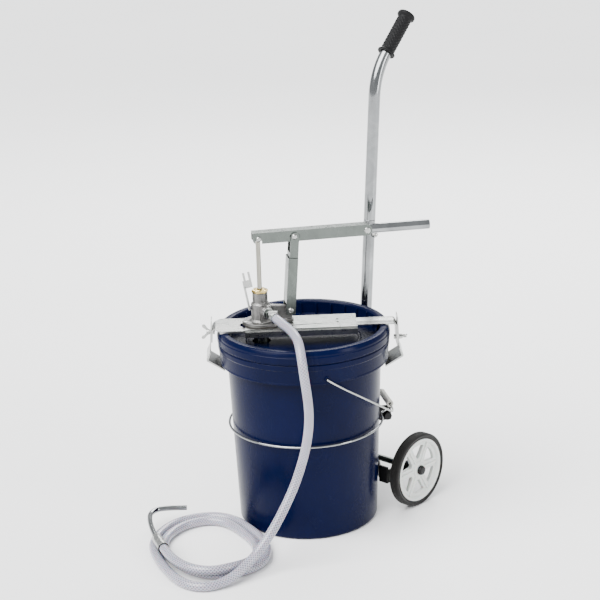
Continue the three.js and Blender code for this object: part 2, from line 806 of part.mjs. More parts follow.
function ferrule() {
  const from = HOSE_FLOOR[HOSE_FLOOR.length - 1];
  const start = new THREE.Vector3(...from);
  const end = new THREE.Vector3(...NOZZLE[0]);
  const way = end.clone().sub(start).normalize();
  const at = (distance) => start.clone().addScaledVector(way, distance).toArray();
  const length = end.distanceTo(start);
  return join(bar(9.8, at(1), at(4), 12), bar(8.8, at(3), at(length - 12), 12), bar(8, at(length - 13), at(length - 7), 6));
}

function nozzlePipe() {
  const start = new THREE.Vector3(...NOZZLE[0]);
  const back = new THREE.Vector3(...HOSE_FLOOR[HOSE_FLOOR.length - 1]).sub(start).normalize();
  const root = start.clone().addScaledVector(back, 6.3).toArray();
  return swept([root, ...NOZZLE.slice(1)], 4.8, 16, 8);
}

// ---- carrier: in its own frame, +X away from the pail and -Y towards the near wheel ----
const tubeX = (z) => CARRIER.foot + CARRIER.lean * z;

function tubePoints(low, high, count) {
  return Array.from({ length: count }, (_, i) => {
    const z = low + ((high - low) * i) / (count - 1);
    return [tubeX(z), 0, z];
  });
}

function handleLowerTube() {
  const { tube, wall } = CARRIER;
  const [low, high] = [WHEEL.radius - 12, HANDLE.joint + 26];
  const whole = bar(tube, [tubeX(low), 0, low], [tubeX(high), 0, high], 14);
  const hollow = bar(tube - wall, [tubeX(WHEEL.radius + 14), 0, WHEEL.radius + 14], [tubeX(high + 2), 0, high + 2], 14);
  const holes = [HANDLE.joint, WHEEL.radius].map((z) => bar(z > 100 ? 3.3 : WHEEL.axle + GAP, [tubeX(z), -20, z], [tubeX(z), 20, z]));
  return cut(whole, hollow, ...holes);
}

// The upper tube slides down inside the lower one at the joint and turns back to the grip.
function handleUpperTube() {
  const { tube, wall } = CARRIER;
  const lean = Math.atan(CARRIER.lean);
  const sweep = 45 * DEG - lean;
  const reach = HANDLE.bend * Math.tan(sweep / 2);
  const kneeX = tubeX(HANDLE.knee);
  const startX = kneeX - reach * Math.sin(lean);
  const startZ = HANDLE.knee - reach * Math.cos(lean);
  const arc = Array.from({ length: 7 }, (_, i) => {
    const turn = lean + (sweep * i) / 6;
    const centreX = startX + HANDLE.bend * Math.cos(lean);
    const centreZ = startZ - HANDLE.bend * Math.sin(lean);
    return [centreX - HANDLE.bend * Math.cos(turn), 0, centreZ + HANDLE.bend * Math.sin(turn)];
  });
  const [bendX, , bendZ] = arc[6];
  const end = [bendX + (HANDLE.grip + 2) * Math.SQRT1_2, 0, bendZ + (HANDLE.grip + 2) * Math.SQRT1_2];
  const low = HANDLE.joint + 26 + GAP;
  const spigotTop = low + 8;
  const shaft = swept([...tubePoints(low, startZ - 20, 3), ...arc, end], tube, 16, 12);
  const spigot = bar(tube - wall - 2 * GAP, [tubeX(low - 50), 0, low - 50], [tubeX(spigotTop), 0, spigotTop]);
  const hole = bar(3.3, [tubeX(HANDLE.joint), -20, HANDLE.joint], [tubeX(HANDLE.joint), 20, HANDLE.joint]);
  return cut(join(shaft, spigot), hole);
}

// Where the grip starts, at the end of the upper tube's bend.
function gripStart() {
  const lean = Math.atan(CARRIER.lean);
  const reach = HANDLE.bend * Math.tan((45 * DEG - lean) / 2);
  return [tubeX(HANDLE.knee) + reach * Math.SQRT1_2, HANDLE.knee + reach * Math.SQRT1_2];
}

function handleGrip() {
  const [hole, body, flange, length] = [CARRIER.tube + 0.8, 13, 16.8, HANDLE.grip];
  const outline = [
    [hole, 0],
    [flange, 0],
    [flange, 3],
    [body + 0.6, 5],
    [body, length - 6],
    [flange, length - 3],
    [flange, length + 1],
    [flange - 4, length + 5],
    [0, length + 6],
    [0, length + 3],
    [hole, length + 3],
  ];
  const [x, z] = gripStart();
  return turned(outline, 16).rotateY(45 * DEG).translate(x, 0, z);
}

function handleBolt() {
  const [x, z] = [tubeX(HANDLE.joint), HANDLE.joint];
  const out = CARRIER.tube + GAP;
  return join(bar(5.5, [x, out, z], [x, out + 4, z], 6), bar(2.9, [x, -out - 9, z], [x, out + 1, z], 10));
}

function handleNut() {
  const [x, z] = [tubeX(HANDLE.joint), HANDLE.joint];
  const out = CARRIER.tube + GAP;
  return cut(bar(6, [x, -out - 6, z], [x, -out, z], 6), bar(3.2, [x, -out - 7, z], [x, -out + 1, z], 10));
}

// The flat bar that hugs the pail's foot and whose ears carry the axle.
function wheelBracket() {
  const [inner, sheet, spread, low, high] = [132.4, 3, 50, 58, 90];
  const strip = arcStrip(inner, sheet, -spread, spread, low, high, 8);
  const [x, y] = polar(inner, spread);
  const wing = block([x - 1, y, low], [x + 3.4, 121, high]);
  const ear = block([x - 1, 118, low], [WHEEL.along + 14, 121, high - 6]);
  const nearWing = block([x - 1, -121, low], [x + 3.4, -y, high]);
  const nearEar = block([x - 1, -121, low], [WHEEL.along + 14, -118, high - 6]);
  const z = WHEEL.radius;
  const hole = bar(WHEEL.axle + GAP, [WHEEL.along, -130, z], [WHEEL.along, 130, z]);
  return cut(join(strip, wing, ear, nearWing, nearEar), hole);
}

function axle() {
  const z = WHEEL.radius;
  const reach = WHEEL.outer + 1;
  return bar(WHEEL.axle, [WHEEL.along, -reach, z], [WHEEL.along, reach, z], 12);
}

// A wheel is made on the Y axis, from its inner face to its outer face.
function onAxle(outline, side, sides) {
  const made = turned(outline, sides).rotateX((side * -90) * DEG);
  return made.translate(WHEEL.along, side * (WHEEL.outer - WHEEL.width), WHEEL.radius);
}

function tyre(side) {
  const { radius, rim, width } = WHEEL;
  const outline = [
    [rim, 1],
    [radius - 4, 0],
    [radius, 4],
    [radius, width - 4],
    [radius - 4, width],
    [rim, width - 1],
  ];
  return onAxle(outline, side, 28);
}

function hub(side) {
  const { rim, width, axle: hole } = WHEEL;
  const [edge, dish] = [rim - GAP, 6];
  const outline = [
    [hole + GAP, 0.5],
    [14, 0.5],
    [14, dish],
    [53, dish],
    [54, 2],
    [edge, 2],
    [edge, width - 1],
    [54, width - 1],
    [53, width - dish],
    [14, width - dish],
    [14, width - 2],
    [hole + GAP, width - 2],
  ];
  const wheel = onAxle(outline, side, 28);
  const windows = Array.from({ length: 6 }, (_, i) => {
    const wedge = new THREE.Shape();
    wedge.absarc(0, 0, 21, -16 * DEG, 16 * DEG, false);
    wedge.absarc(0, 0, 46, 22 * DEG, -22 * DEG, true);
    const opening = flatPlate(wedge, -40, 40, 2).rotateZ((30 + 60 * i) * DEG).rotateX(90 * DEG);
    return opening.translate(WHEEL.along, side * (WHEEL.outer - WHEEL.width / 2), WHEEL.radius);
  });
  return cut(wheel, ...windows);
}

function axleCap(side) {
  const outline = [
    [0, WHEEL.width + 1 + GAP],
    [0, WHEEL.width + 6],
    [7, WHEEL.width + 5],
    [9, WHEEL.width + 1],
    [9, WHEEL.width - 2 + GAP],
    [WHEEL.axle + GAP, WHEEL.width - 2 + GAP],
    [WHEEL.axle + GAP, WHEEL.width + 1 + GAP],
  ];
  return onAxle(outline, side, 14);
}

// The strap behind the pail that carries the wire hoop; its ears stand out from the pail.
const STRAP = { inner: 137, sheet: 2.6, spread: 36, low: 165, high: 194, ear: 161 };

function cradleStrap() {
  const { inner, sheet, spread, low, high, ear } = STRAP;
  const strip = arcStrip(inner, sheet, -spread, spread, low, high, 6);
  const ears = [-1, 1].map((side) => {
    const plate = block([inner, side > 0 ? -sheet : 0, low], [ear, side > 0 ? 0 : sheet, high]);
    return cut(plate.rotateZ(side * spread * DEG), knobHole(side));
  });
  const spacer = block([inner + 1, -8, low + 4], [tubeX(HOOP_Z) - CARRIER.tube - 1.6, 8, high - 4]);
  return join(strip, ...ears, spacer);
}

const KNOB = { reach: 153, z: HOOP_Z - 10 };

function knobHole(side) {
  const [x, y] = polar(KNOB.reach, side * STRAP.spread);
  const across = polar(12, side * STRAP.spread + 90);
  const z = KNOB.z;
  return bar(2.9, [x - across[0], y - across[1], z], [x + across[0], y + across[1], z], 10);
}

function hoopKnob(side) {
  const [x, y] = polar(KNOB.reach, side * STRAP.spread);
  const across = polar(1, side * STRAP.spread + side * 90);
  const z = KNOB.z;
  const at = (d) => [x + across[0] * d, y + across[1] * d, z];
  return join(bar(2.6, at(-STRAP.sheet - 5), at(1), 10), bar(8, at(GAP), at(9), 12));
}

// The wire hoop runs round the pail's front from one ear of the strap to the other.
function hoopWire() {
  const [wire, radius] = [2.1, 140.5];
  const start = STRAP.spread + 5;
  const arc = Array.from({ length: 25 }, (_, i) => [...polar(radius, start + ((360 - 2 * start) * i) / 24), HOOP_Z]);
  const end = (side) => [...polar(STRAP.ear - 6, side * (STRAP.spread + 1.3)), HOOP_Z + 4];
  return swept([end(1), ...arc, end(-1)], wire, 44, 6);
}

// ---- bail: in its own frame, the grip towards +X and the ears on the Y axis ----
function bailWire() {
  const z = (x) => EAR.z - 0.711 * x;
  const outside = 158.6;
  const points = [
    [0, -EAR.reach + 5.5, EAR.z],
    [0, -outside + 1, EAR.z],
    [3, -outside, z(3)],
    [17, -157.2, z(17)],
    [36, -152, z(36)],
    [62, -140, z(62)],
    [112, -118, z(112)],
    [130, -108, z(130)],
    [139, -88, z(139)],
    ...[0, 0.25, 0.5, 0.75, 1].map((t) => [148.5 + 10 * t, -46 + 90 * t, z(148.5 + 10 * t)]),
    [152, 84, z(152)],
    [146, 106, z(146)],
    [130, 118, z(130)],
    [66, 141, z(66)],
    [36, 152.6, z(36)],
    [17, 157.2, z(17)],
    [3, outside, z(3)],
    [0, outside - 1, EAR.z],
    [0, EAR.reach - 5.5, EAR.z],
  ];
  return swept(points, 1.8, 84, 6);
}

function bailGrip() {
  const at = (t) => [148.5 + 10 * t, -46 + 90 * t, EAR.z - 0.711 * (148.5 + 10 * t)];
  return cut(bar(6.5, at(0.05), at(0.95), 12), bar(3, at(-0.05), at(1.05), 10));
}

// ---- assembly ----
function group(turn, x, y, meshes) {
  const made = new THREE.Group();
  made.rotation.z = turn * DEG;
  made.position.set(x, y, 0);
  made.add(...meshes);
  return made;
}

const pump = new THREE.Group();

pump.add(
  node("pail", LOOK.navy, pail()),
  node("lid", LOOK.navy, lid()),
  node("lid_gasket", LOOK.seal, lidGasket()),
  node("clamp_channel", LOOK.zinc, clampChannel()),
  node("clamp_arm", LOOK.zinc, clampArm()),
);

for (const [name, side] of [
  ["left", -1],
  ["right", 1],
]) {
  pump.add(
    node("hook_" + name, LOOK.zinc, hook(side, LEG[name])),
    node("hook_bolt_" + name, LOOK.zinc, hookBolt(side, LEG[name])),
    node("wing_nut_" + name, LOOK.zinc, wingNut(side, LEG[name])),
  );
}

pump.add(
  group(PUMP.turn, PUMP.x, BAR.y, [
    node("flange_gasket", LOOK.seal, flangeGasket()),
    ...SCREWS.map((screw, i) => node("flange_screw_" + (i + 1), LOOK.zinc, flangeScrew(screw))),
    node("pump_body", LOOK.casting, pumpBody()),
    node("gland_packing", LOOK.seal, glandPacking()),
    node("gland_nut", LOOK.brass, glandNut()),
    node("pump_cylinder", LOOK.steel, pumpCylinder()),
    node("foot_valve_body", LOOK.brass, footValveBody()),
    node("foot_valve_ball", LOOK.steel, footValveBall()),
    node("suction_strainer", LOOK.steel, suctionStrainer()),
    node("outlet_fitting", LOOK.zinc, outletFitting()),
    node("nozzle_rest", LOOK.zinc, nozzleRest()),
    node("piston_rod", LOOK.steel, pistonRod()),
    node("rod_pin", LOOK.zinc, rodPin()),
    node("piston", LOOK.brass, piston()),
    node("piston_cup", LOOK.seal, pistonCup()),
    node("piston_ball", LOOK.steel, pistonBall()),
    node("lever_channel", LOOK.steel, leverChannel()),
    node("lever_tube", LOOK.chrome, leverTube()),
    node("lever_rivet", LOOK.zinc, leverRivet()),
    node("link_lower", LOOK.steel, linkLower()),
    node("link_upper", LOOK.steel, linkUpper()),
    node("link_top_pin", LOOK.zinc, crossPin(LINK.top, LINK.upper + GAP, 4.8)),
    node("link_base_pin", LOOK.zinc, crossPin(LINK.base, LINK.lower + GAP, 4.8)),
  ]),
  node("hose_clamp", LOOK.zinc, hoseClamp()),
  node("hose_run", LOOK.pvc, hoseRun()),
  node("hose_ferrule", LOOK.zinc, ferrule()),
  node("nozzle_pipe", LOOK.zinc, nozzlePipe()),
);

const wheelNodes = [
  ["near", -1],
  ["far", 1],
].flatMap(([name, side]) => [
  node(name + "_tyre", LOOK.rubber, tyre(side)),
  node(name + "_hub", LOOK.hub, hub(side)),
  node(name + "_axle_cap", LOOK.black, axleCap(side)),
]);

pump.add(
  group(CARRIER.turn, 0, 0, [
    node("handle_lower_tube", LOOK.chrome, handleLowerTube()),
    node("handle_upper_tube", LOOK.chrome, handleUpperTube()),
    node("handle_grip", LOOK.rubber, handleGrip()),
    node("handle_bolt", LOOK.zinc, handleBolt()),
    node("handle_nut", LOOK.zinc, handleNut()),
    node("wheel_bracket", LOOK.black, wheelBracket()),
    node("axle", LOOK.steel, axle()),
    ...wheelNodes,
    node("cradle_strap", LOOK.black, cradleStrap()),
    node("hoop_wire", LOOK.chrome, hoopWire()),
    node("hoop_knob_near", LOOK.black, hoopKnob(-1)),
    node("hoop_knob_far", LOOK.black, hoopKnob(1)),
  ]),
  group(EAR.turn, 0, 0, [
    node("bail_wire", LOOK.zinc, bailWire()),
    node("bail_grip", LOOK.hub, bailGrip()),
  ]),
);

export default pump;
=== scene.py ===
"""Looks for the hand-lever gear oil pump on its pail and trolley. Blender 4.5, metres, the row frame."""

import json
import math

import bmesh
import bpy
from mathutils import Matrix, Vector

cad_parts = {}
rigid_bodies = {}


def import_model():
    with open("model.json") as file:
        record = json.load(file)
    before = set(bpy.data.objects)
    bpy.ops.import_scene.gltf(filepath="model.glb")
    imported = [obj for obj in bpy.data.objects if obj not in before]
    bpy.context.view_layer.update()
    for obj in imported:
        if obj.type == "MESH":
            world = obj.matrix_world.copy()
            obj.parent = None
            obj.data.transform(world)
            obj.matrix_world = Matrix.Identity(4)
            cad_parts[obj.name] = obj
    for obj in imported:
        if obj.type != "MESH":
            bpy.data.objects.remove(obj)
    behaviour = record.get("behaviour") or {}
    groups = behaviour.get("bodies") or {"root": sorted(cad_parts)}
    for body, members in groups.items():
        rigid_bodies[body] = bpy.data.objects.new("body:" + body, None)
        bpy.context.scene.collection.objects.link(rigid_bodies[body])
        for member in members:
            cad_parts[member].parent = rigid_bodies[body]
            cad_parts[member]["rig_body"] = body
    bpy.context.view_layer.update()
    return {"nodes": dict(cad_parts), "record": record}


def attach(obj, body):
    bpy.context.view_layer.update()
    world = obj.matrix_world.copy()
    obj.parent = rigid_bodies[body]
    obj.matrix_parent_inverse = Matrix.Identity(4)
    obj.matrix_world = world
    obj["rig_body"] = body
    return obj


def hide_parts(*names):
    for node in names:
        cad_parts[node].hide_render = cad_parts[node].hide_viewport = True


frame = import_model()
NODES = frame["nodes"]
SLOT_OF = {row["node"]: row["material_slot"] for row in frame["record"]["subparts"]}
MM = 0.001
DEG = math.pi / 180

# ---- frames of the pieces ----
PUMP_PLACE = Matrix.Translation((-0.076, -0.004, 0))
PUMP_FRAME = PUMP_PLACE @ Matrix.Rotation(8.7 * DEG, 4, "Z")
CARRIER_FRAME = Matrix.Rotation(46 * DEG, 4, "Z")
EAR_FRAME = Matrix.Rotation(13.2 * DEG, 4, "Z")
RIGHT_FRAME = Matrix.Translation((0, -0.004, 0))
LEFT_FRAME = RIGHT_FRAME @ Matrix.Rotation(math.pi, 4, "Z")


# ---- camera ----
def make_camera():
    data = bpy.data.cameras.new("camera")
    data.lens = 105.247
    data.clip_end = 60
    camera = bpy.data.objects.new("camera", data)
    bpy.context.scene.collection.objects.link(camera)
    pitch, roll = 0.312, 0.032
    right0 = Vector((1, 0, 0))
    up0 = Vector((0, math.sin(pitch), math.cos(pitch)))
    ahead = Vector((0, math.cos(pitch), -math.sin(pitch)))
    right = right0 * math.cos(roll) - up0 * math.sin(roll)
    up = up0 * math.cos(roll) + right0 * math.sin(roll)
    turn = Matrix.Rotation(-1.3 * DEG, 4, "Z")
    place = Matrix.Translation((-0.004355, -3.0, 1.381147))
    basis = Matrix((right, up, -ahead)).transposed().to_4x4()
    camera.matrix_world = turn @ place @ basis
    bpy.context.scene.camera = camera


make_camera()


# ---- materials ----
class Paint:
    """A material's node tree, with short calls for what every material here needs."""

    def __init__(self, name, base, roughness, metallic=0.0):
        self.material = bpy.data.materials.new(name)
        self.material.use_nodes = True
        self.tree = self.material.node_tree
        self.shader = self.tree.nodes["Principled BSDF"]
        self.shader.inputs["Base Color"].default_value = (*base, 1)
        self.shader.inputs["Roughness"].default_value = roughness
        self.shader.inputs["Metallic"].default_value = metallic
        self.base = base
        self.bump = None

    def add(self, kind, **settings):
        node = self.tree.nodes.new(kind)
        for key, value in settings.items():
            if key in node.inputs:
                node.inputs[key].default_value = value
            else:
                setattr(node, key, value)
        return node

    def link(self, source, target):
        self.tree.links.new(source, target)

    def place(self, scale=(1, 1, 1), output="Object", turn=(0, 0, 0)):
        mapping = self.add("ShaderNodeMapping")
        mapping.inputs["Scale"].default_value = scale
        mapping.inputs["Rotation"].default_value = turn
        self.link(self.add("ShaderNodeTexCoord").outputs[output], mapping.inputs["Vector"])
        return mapping.outputs["Vector"]

    def noise(self, scale, detail=4, roughness=0.55, distortion=0.0, stretch=(1, 1, 1), turn=(0, 0, 0)):
        node = self.add("ShaderNodeTexNoise")
        node.inputs["Scale"].default_value = scale
        node.inputs["Detail"].default_value = detail
        node.inputs["Roughness"].default_value = roughness
        node.inputs["Distortion"].default_value = distortion
        self.link(self.place(stretch, turn=turn), node.inputs["Vector"])
        return node.outputs["Fac"]

    def remap(self, value, low, high, to_low, to_high):
        node = self.add("ShaderNodeMapRange")
        for key, number in zip(("From Min", "From Max", "To Min", "To Max"), (low, high, to_low, to_high)):
            node.inputs[key].default_value = number
        self.link(value, node.inputs["Value"])
        return node.outputs["Result"]

    def math(self, operation, a, b):
        node = self.add("ShaderNodeMath", operation=operation)
        for socket, value in zip(node.inputs, (a, b)):
            if isinstance(value, (int, float)):
                socket.default_value = value
            else:
                self.link(value, socket)
        return node.outputs["Value"]

    def mix(self, factor, a, b):
        node = self.add("ShaderNodeMix", data_type="RGBA")
        self.link(factor, node.inputs[0])
        for socket, value in zip((node.inputs[6], node.inputs[7]), (a, b)):
            if isinstance(value, tuple):
                socket.default_value = (*value, 1)
            else:
                self.link(value, socket)
        return node.outputs[2]

    def colour(self, output):
        self.link(output, self.shader.inputs["Base Color"])

    def rough(self, output):
        self.link(output, self.shader.inputs["Roughness"])

    def bumps(self, height, distance, strength=1.0):
        node = self.add("ShaderNodeBump")
        node.inputs["Distance"].default_value = distance
        node.inputs["Strength"].default_value = strength
        self.link(height, node.inputs["Height"])
        if self.bump:
            self.link(self.bump, node.inputs["Normal"])
        self.bump = node.outputs["Normal"]
        self.link(self.bump, self.shader.inputs["Normal"])

    def value(self, name, number):
        self.shader.inputs[name].default_value = number


def shade(colour, factor):
    return tuple(min(1.0, c * factor) for c in colour)


def varied(name, base, roughness, metallic=0.0, spread=0.12, scale=30, rough_spread=0.3, stretch=(1, 1, 1)):
    """A material whose colour and roughness drift over the surface."""
    paint = Paint(name, base, roughness, metallic)
    drift = paint.remap(paint.noise(scale, 6, 0.6, 0.3, stretch), 0.3, 0.7, 0, 1)
    paint.colour(paint.mix(drift, shade(base, 1 - spread), shade(base, 1 + spread)))
    smears = paint.noise(scale * 2.3, 7, 0.7, 0.8, stretch)
    paint.rough(paint.remap(smears, 0.3, 0.7, roughness * (1 - rough_spread), roughness * (1 + rough_spread)))
    return paint


def navy_enamel():
    base = (0.0006, 0.0024, 0.021)
    paint = Paint("navy_enamel", base, 0.24)
    cloud = paint.remap(paint.noise(9, 5, 0.6, 0.5), 0.3, 0.72, 0, 1)
    scuff = paint.remap(paint.noise(38, 9, 0.72, 1.2, (1, 1, 0.16)), 0.6, 0.78, 0, 0.3)
    body = paint.mix(cloud, shade(base, 0.8), shade(base, 1.2))
    paint.colour(paint.mix(scuff, body, (0.003, 0.008, 0.04)))
    smears = paint.noise(16, 8, 0.7, 0.9, (1, 1, 0.5))
    paint.rough(paint.remap(smears, 0.3, 0.7, 0.17, 0.32))
    paint.bumps(paint.noise(13, 2, 0.4, 0.2, (1, 1, 0.6)), 0.0022, 0.35)
    paint.bumps(paint.noise(650, 2), 0.00004, 0.4)
    paint.bumps(paint.noise(70, 4, 0.7, 0, (0.25, 0.25, 14)), 0.0001, 0.35)
    paint.value("Specular IOR Level", 0.07)
    return paint.material


def zinc_plate():
    base = (0.42, 0.43, 0.42)
    paint = Paint("zinc_plate", base, 0.3, 1.0)
    cloud = paint.remap(paint.noise(26, 5, 0.55, 0.5), 0.32, 0.7, 0, 1)
    cast = paint.mix(cloud, (0.38, 0.395, 0.385), (0.48, 0.475, 0.46))
    stain = paint.remap(paint.noise(120, 8, 0.75, 0.6), 0.68, 0.82, 0, 0.2)
    paint.colour(paint.mix(stain, cast, (0.36, 0.36, 0.33)))
    rolled = paint.noise(60, 5, 0.7, 0, (0.35, 9, 9))
    paint.rough(paint.remap(paint.math("ADD", rolled, paint.noise(90, 6)), 0.75, 1.3, 0.24, 0.36))
    paint.bumps(rolled, 0.00003, 0.4)
    paint.bumps(paint.noise(900, 3), 0.000015, 0.4)
    return paint.material


def pressed_steel():
    base = (0.13, 0.145, 0.135)
    paint = varied("pressed_steel", base, 0.3, 1.0, 0.14, 26, 0.35, (1, 1, 0.4))
    paint.bumps(paint.noise(70, 5, 0.7, 0, (0.3, 6, 6)), 0.00007, 0.6)
    paint.bumps(paint.noise(700, 3), 0.00003, 0.5)
    return paint.material


def cast_metal():
    base = (0.18, 0.178, 0.172)
    paint = Paint("cast_metal", base, 0.42, 1.0)
    cloud = paint.remap(paint.noise(70, 6, 0.65, 0.4), 0.3, 0.7, 0, 1)
    paint.colour(paint.mix(cloud, (0.12, 0.118, 0.114), (0.26, 0.256, 0.25)))
    paint.rough(paint.remap(paint.noise(160, 7, 0.7), 0.3, 0.7, 0.32, 0.54))
    paint.bumps(paint.noise(420, 4, 0.65), 0.00035, 0.7)
    paint.bumps(paint.noise(90, 3), 0.0006, 0.35)
    return paint.material


def brass():
    base = (0.62, 0.47, 0.18)
    paint = varied("brass", base, 0.26, 1.0, 0.18, 90)
    paint.bumps(paint.noise(200, 4, 0.6, 0, (1, 1, 8)), 0.00004, 0.5)
    return paint.material


def chrome():
    base = (0.26, 0.27, 0.275)
    paint = Paint("chrome", base, 0.12, 1.0)
    cloud = paint.remap(paint.noise(22, 6, 0.6, 0.4), 0.3, 0.7, 0, 1)
    paint.colour(paint.mix(cloud, (0.2, 0.208, 0.212), (0.32, 0.33, 0.335)))
    smears = paint.noise(40, 8, 0.75, 1.0, (1, 1, 0.3))
    paint.rough(paint.remap(smears, 0.35, 0.75, 0.07, 0.24))
    paint.bumps(paint.noise(320, 4, 0.6, 0, (1, 1, 0.05)), 0.00002, 0.6)
    return paint.material


def polished_rod():
    base = (0.3, 0.29, 0.25)
    paint = varied("polished_rod", base, 0.16, 1.0, 0.1, 60, 0.4, (1, 1, 0.2))
    paint.bumps(paint.noise(500, 3, 0.6, 0, (1, 1, 5)), 0.00002, 0.6)
    return paint.material


def black_powder():
    base = (0.0052, 0.0052, 0.0056)
    paint = varied("black_powder", base, 0.42, 0.0, 0.3, 40)
    wear = paint.remap(paint.noise(60, 9, 0.75, 0.8), 0.68, 0.8, 0, 0.5)
    paint.colour(paint.mix(wear, base, (0.020, 0.019, 0.018)))
    paint.bumps(paint.noise(900, 3, 0.6), 0.0001, 0.6)
    paint.value("Specular IOR Level", 0.2)
    return paint.material


def black_plastic():
    base = (0.0054, 0.0054, 0.0059)
    paint = varied("black_plastic", base, 0.36, 0.0, 0.25, 60)
    paint.bumps(paint.noise(1200, 2), 0.00006, 0.6)
    paint.value("Specular IOR Level", 0.2)
    return paint.material


def grip_rubber():
    base = (0.0056, 0.0056, 0.0061)
    paint = varied("grip_rubber", base, 0.55, 0.0, 0.3, 55, 0.2)
    dust = paint.remap(paint.noise(130, 8, 0.7), 0.55, 0.75, 0, 0.35)
    paint.colour(paint.mix(dust, base, (0.020, 0.020, 0.021)))
    paint.bumps(paint.noise(1000, 3), 0.0001, 0.6)
    paint.value("Specular IOR Level", 0.14)
    return paint.material


def tyre_rubber():
    base = (0.0061, 0.0058, 0.0055)
    paint = varied("tyre_rubber", base, 0.5, 0.0, 0.25, 30, 0.2)
    dust = paint.remap(paint.noise(75, 8, 0.7, 0.4), 0.5, 0.75, 0, 0.45)
    paint.colour(paint.mix(dust, base, (0.016, 0.015, 0.014)))
    paint.bumps(paint.noise(800, 4), 0.00012, 0.6)
    paint.value("Sheen Weight", 0.1)
    paint.value("Specular IOR Level", 0.14)
    return paint.material


def hub_plastic():
    base = (0.62, 0.64, 0.615)
    paint = varied("hub_plastic", base, 0.4, 0.0, 0.05, 30, 0.2)
    grime = paint.remap(paint.noise(110, 8, 0.7, 0.3), 0.58, 0.78, 0, 0.35)
    paint.colour(paint.mix(grime, base, (0.42, 0.44, 0.42)))
    paint.bumps(paint.noise(700, 3), 0.00006, 0.6)
    paint.value("Subsurface Weight", 0.08)
    paint.value("Subsurface Scale", 0.004)
    return paint.material


def grip_plastic():
    base = (0.5, 0.49, 0.45)
    paint = varied("grip_plastic", base, 0.34, 0.0, 0.08, 60, 0.25)
    grime = paint.remap(paint.noise(150, 8, 0.7, 0.3), 0.55, 0.75, 0, 0.5)
    paint.colour(paint.mix(grime, base, (0.27, 0.26, 0.23)))
    paint.bumps(paint.noise(500, 3), 0.00008, 0.6)
    return paint.material


def seal():
    base = (0.03, 0.024, 0.02)
    paint = varied("seal", base, 0.65, 0.0, 0.3, 200)
    paint.bumps(paint.noise(1500, 3), 0.0001, 0.7)
    return paint.material


HOSE_THREADS = 16
HOSE_PITCH = 0.011


def hose_pvc():
    """Soft clear PVC over a white braid: two sets of threads that wind opposite ways."""
    base = (0.53, 0.51, 0.58)
    paint = Paint("hose_pvc", base, 0.2)
    split = paint.add("ShaderNodeSeparateXYZ")
    paint.link(paint.place((1, 1, 1), "UV"), split.inputs["Vector"])
    around = paint.math("MULTIPLY", split.outputs["X"], HOSE_THREADS / 2)
    along = paint.math("MULTIPLY", split.outputs["Y"], 1 / HOSE_PITCH * 2)
    sets = []
    for operation in ("ADD", "SUBTRACT"):
        phase = paint.math("FRACT", paint.math(operation, around, along), 0)
        ridge = paint.math("ABSOLUTE", paint.math("SUBTRACT", phase, 0.5), 0)
        sets.append(paint.remap(ridge, 0.08, 0.2, 1, 0))
    thread = paint.math("MAXIMUM", sets[0], sets[1])
    cloud = paint.remap(paint.noise(24, 5, 0.6, 0.3), 0.3, 0.7, 0, 1)
    wall = paint.mix(cloud, (0.12, 0.115, 0.155), (0.2, 0.195, 0.25))
    paint.colour(paint.mix(paint.math("MULTIPLY", thread, 0.55), wall, (0.62, 0.61, 0.68)))
    paint.rough(paint.remap(paint.noise(80, 6, 0.7), 0.3, 0.7, 0.12, 0.3))
    paint.bumps(thread, 0.00012, 0.35)
    paint.value("Coat Weight", 0.35)
    paint.value("Coat Roughness", 0.08)
    paint.value("Subsurface Weight", 0.3)
    paint.value("Subsurface Scale", 0.006)
    return paint.material


# Near-black. Inside the nozzle's bore it is painted shade, in place of the shaded metal there; it also
# colours the handle's dark joint line and the ferrule's band.
def bore_dark():
    base = (0.02, 0.02, 0.022)
    paint = varied("bore_dark", base, 0.6, 0.3, 0.3, 120)
    paint.bumps(paint.noise(600, 3), 0.0001, 0.5)
    return paint.material


LOOK = {
    "navy_enamel": navy_enamel(),
    "zinc_plate": zinc_plate(),
    "bare_steel": pressed_steel(),
    "cast_metal": cast_metal(),
    "cast_brass": brass(),
    "chrome": chrome(),
    "black_steel": black_powder(),
    "black_plastic": black_plastic(),
    "grip_rubber": grip_rubber(),
    "tyre_rubber": tyre_rubber(),
    "hub_plastic": hub_plastic(),
    "grip_plastic": grip_plastic(),
    "hose_pvc": hose_pvc(),
    "seal": seal(),
}
ROD_LOOK = polished_rod()
DARK = bore_dark()

for name, node in NODES.items():
    node.data.materials.clear()
    node.data.materials.append(LOOK[SLOT_OF[name]])


# ---- mesh making ----
def as_object(name, bm, material):
    bmesh.ops.recalc_face_normals(bm, faces=bm.faces)
    mesh = bpy.data.meshes.new(name)
    bm.to_mesh(mesh)
    bm.free()
    mesh.materials.append(material)
    obj = bpy.data.objects.new(name, mesh)
    bpy.context.scene.collection.objects.link(obj)
    return obj


def smooth(obj, angle=35):
    mesh = obj.data
    mesh.polygons.foreach_set("use_smooth", [True] * len(mesh.polygons))
    mesh.set_sharp_from_angle(angle=angle * DEG)
    return obj


def baked(obj):
    """Applies the object's modifiers to its mesh."""
    graph = bpy.context.evaluated_depsgraph_get()
    mesh = bpy.data.meshes.new_from_object(obj.evaluated_get(graph))
    obj.modifiers.clear()
    obj.data = mesh
    return obj


def bevelled(obj, width, segments=2, angle=34):
    modifier = obj.modifiers.new("edges", "BEVEL")
    modifier.width = width * MM
    modifier.segments = segments
    modifier.limit_method = "ANGLE"
    modifier.angle_limit = angle * DEG
    modifier.miter_outer = "MITER_ARC"
    baked(obj)
    smooth(obj, 38)
    weigh = obj.modifiers.new("weigh", "WEIGHTED_NORMAL")
    weigh.keep_sharp = True
    weigh.weight = 100
    return baked(obj)


def stands_for(obj, *nodes, slot=None):
    """The piece takes the place of these CAD nodes and moves as they do."""
    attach(obj, NODES[nodes[0]]["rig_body"])
    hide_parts(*nodes)
    return obj


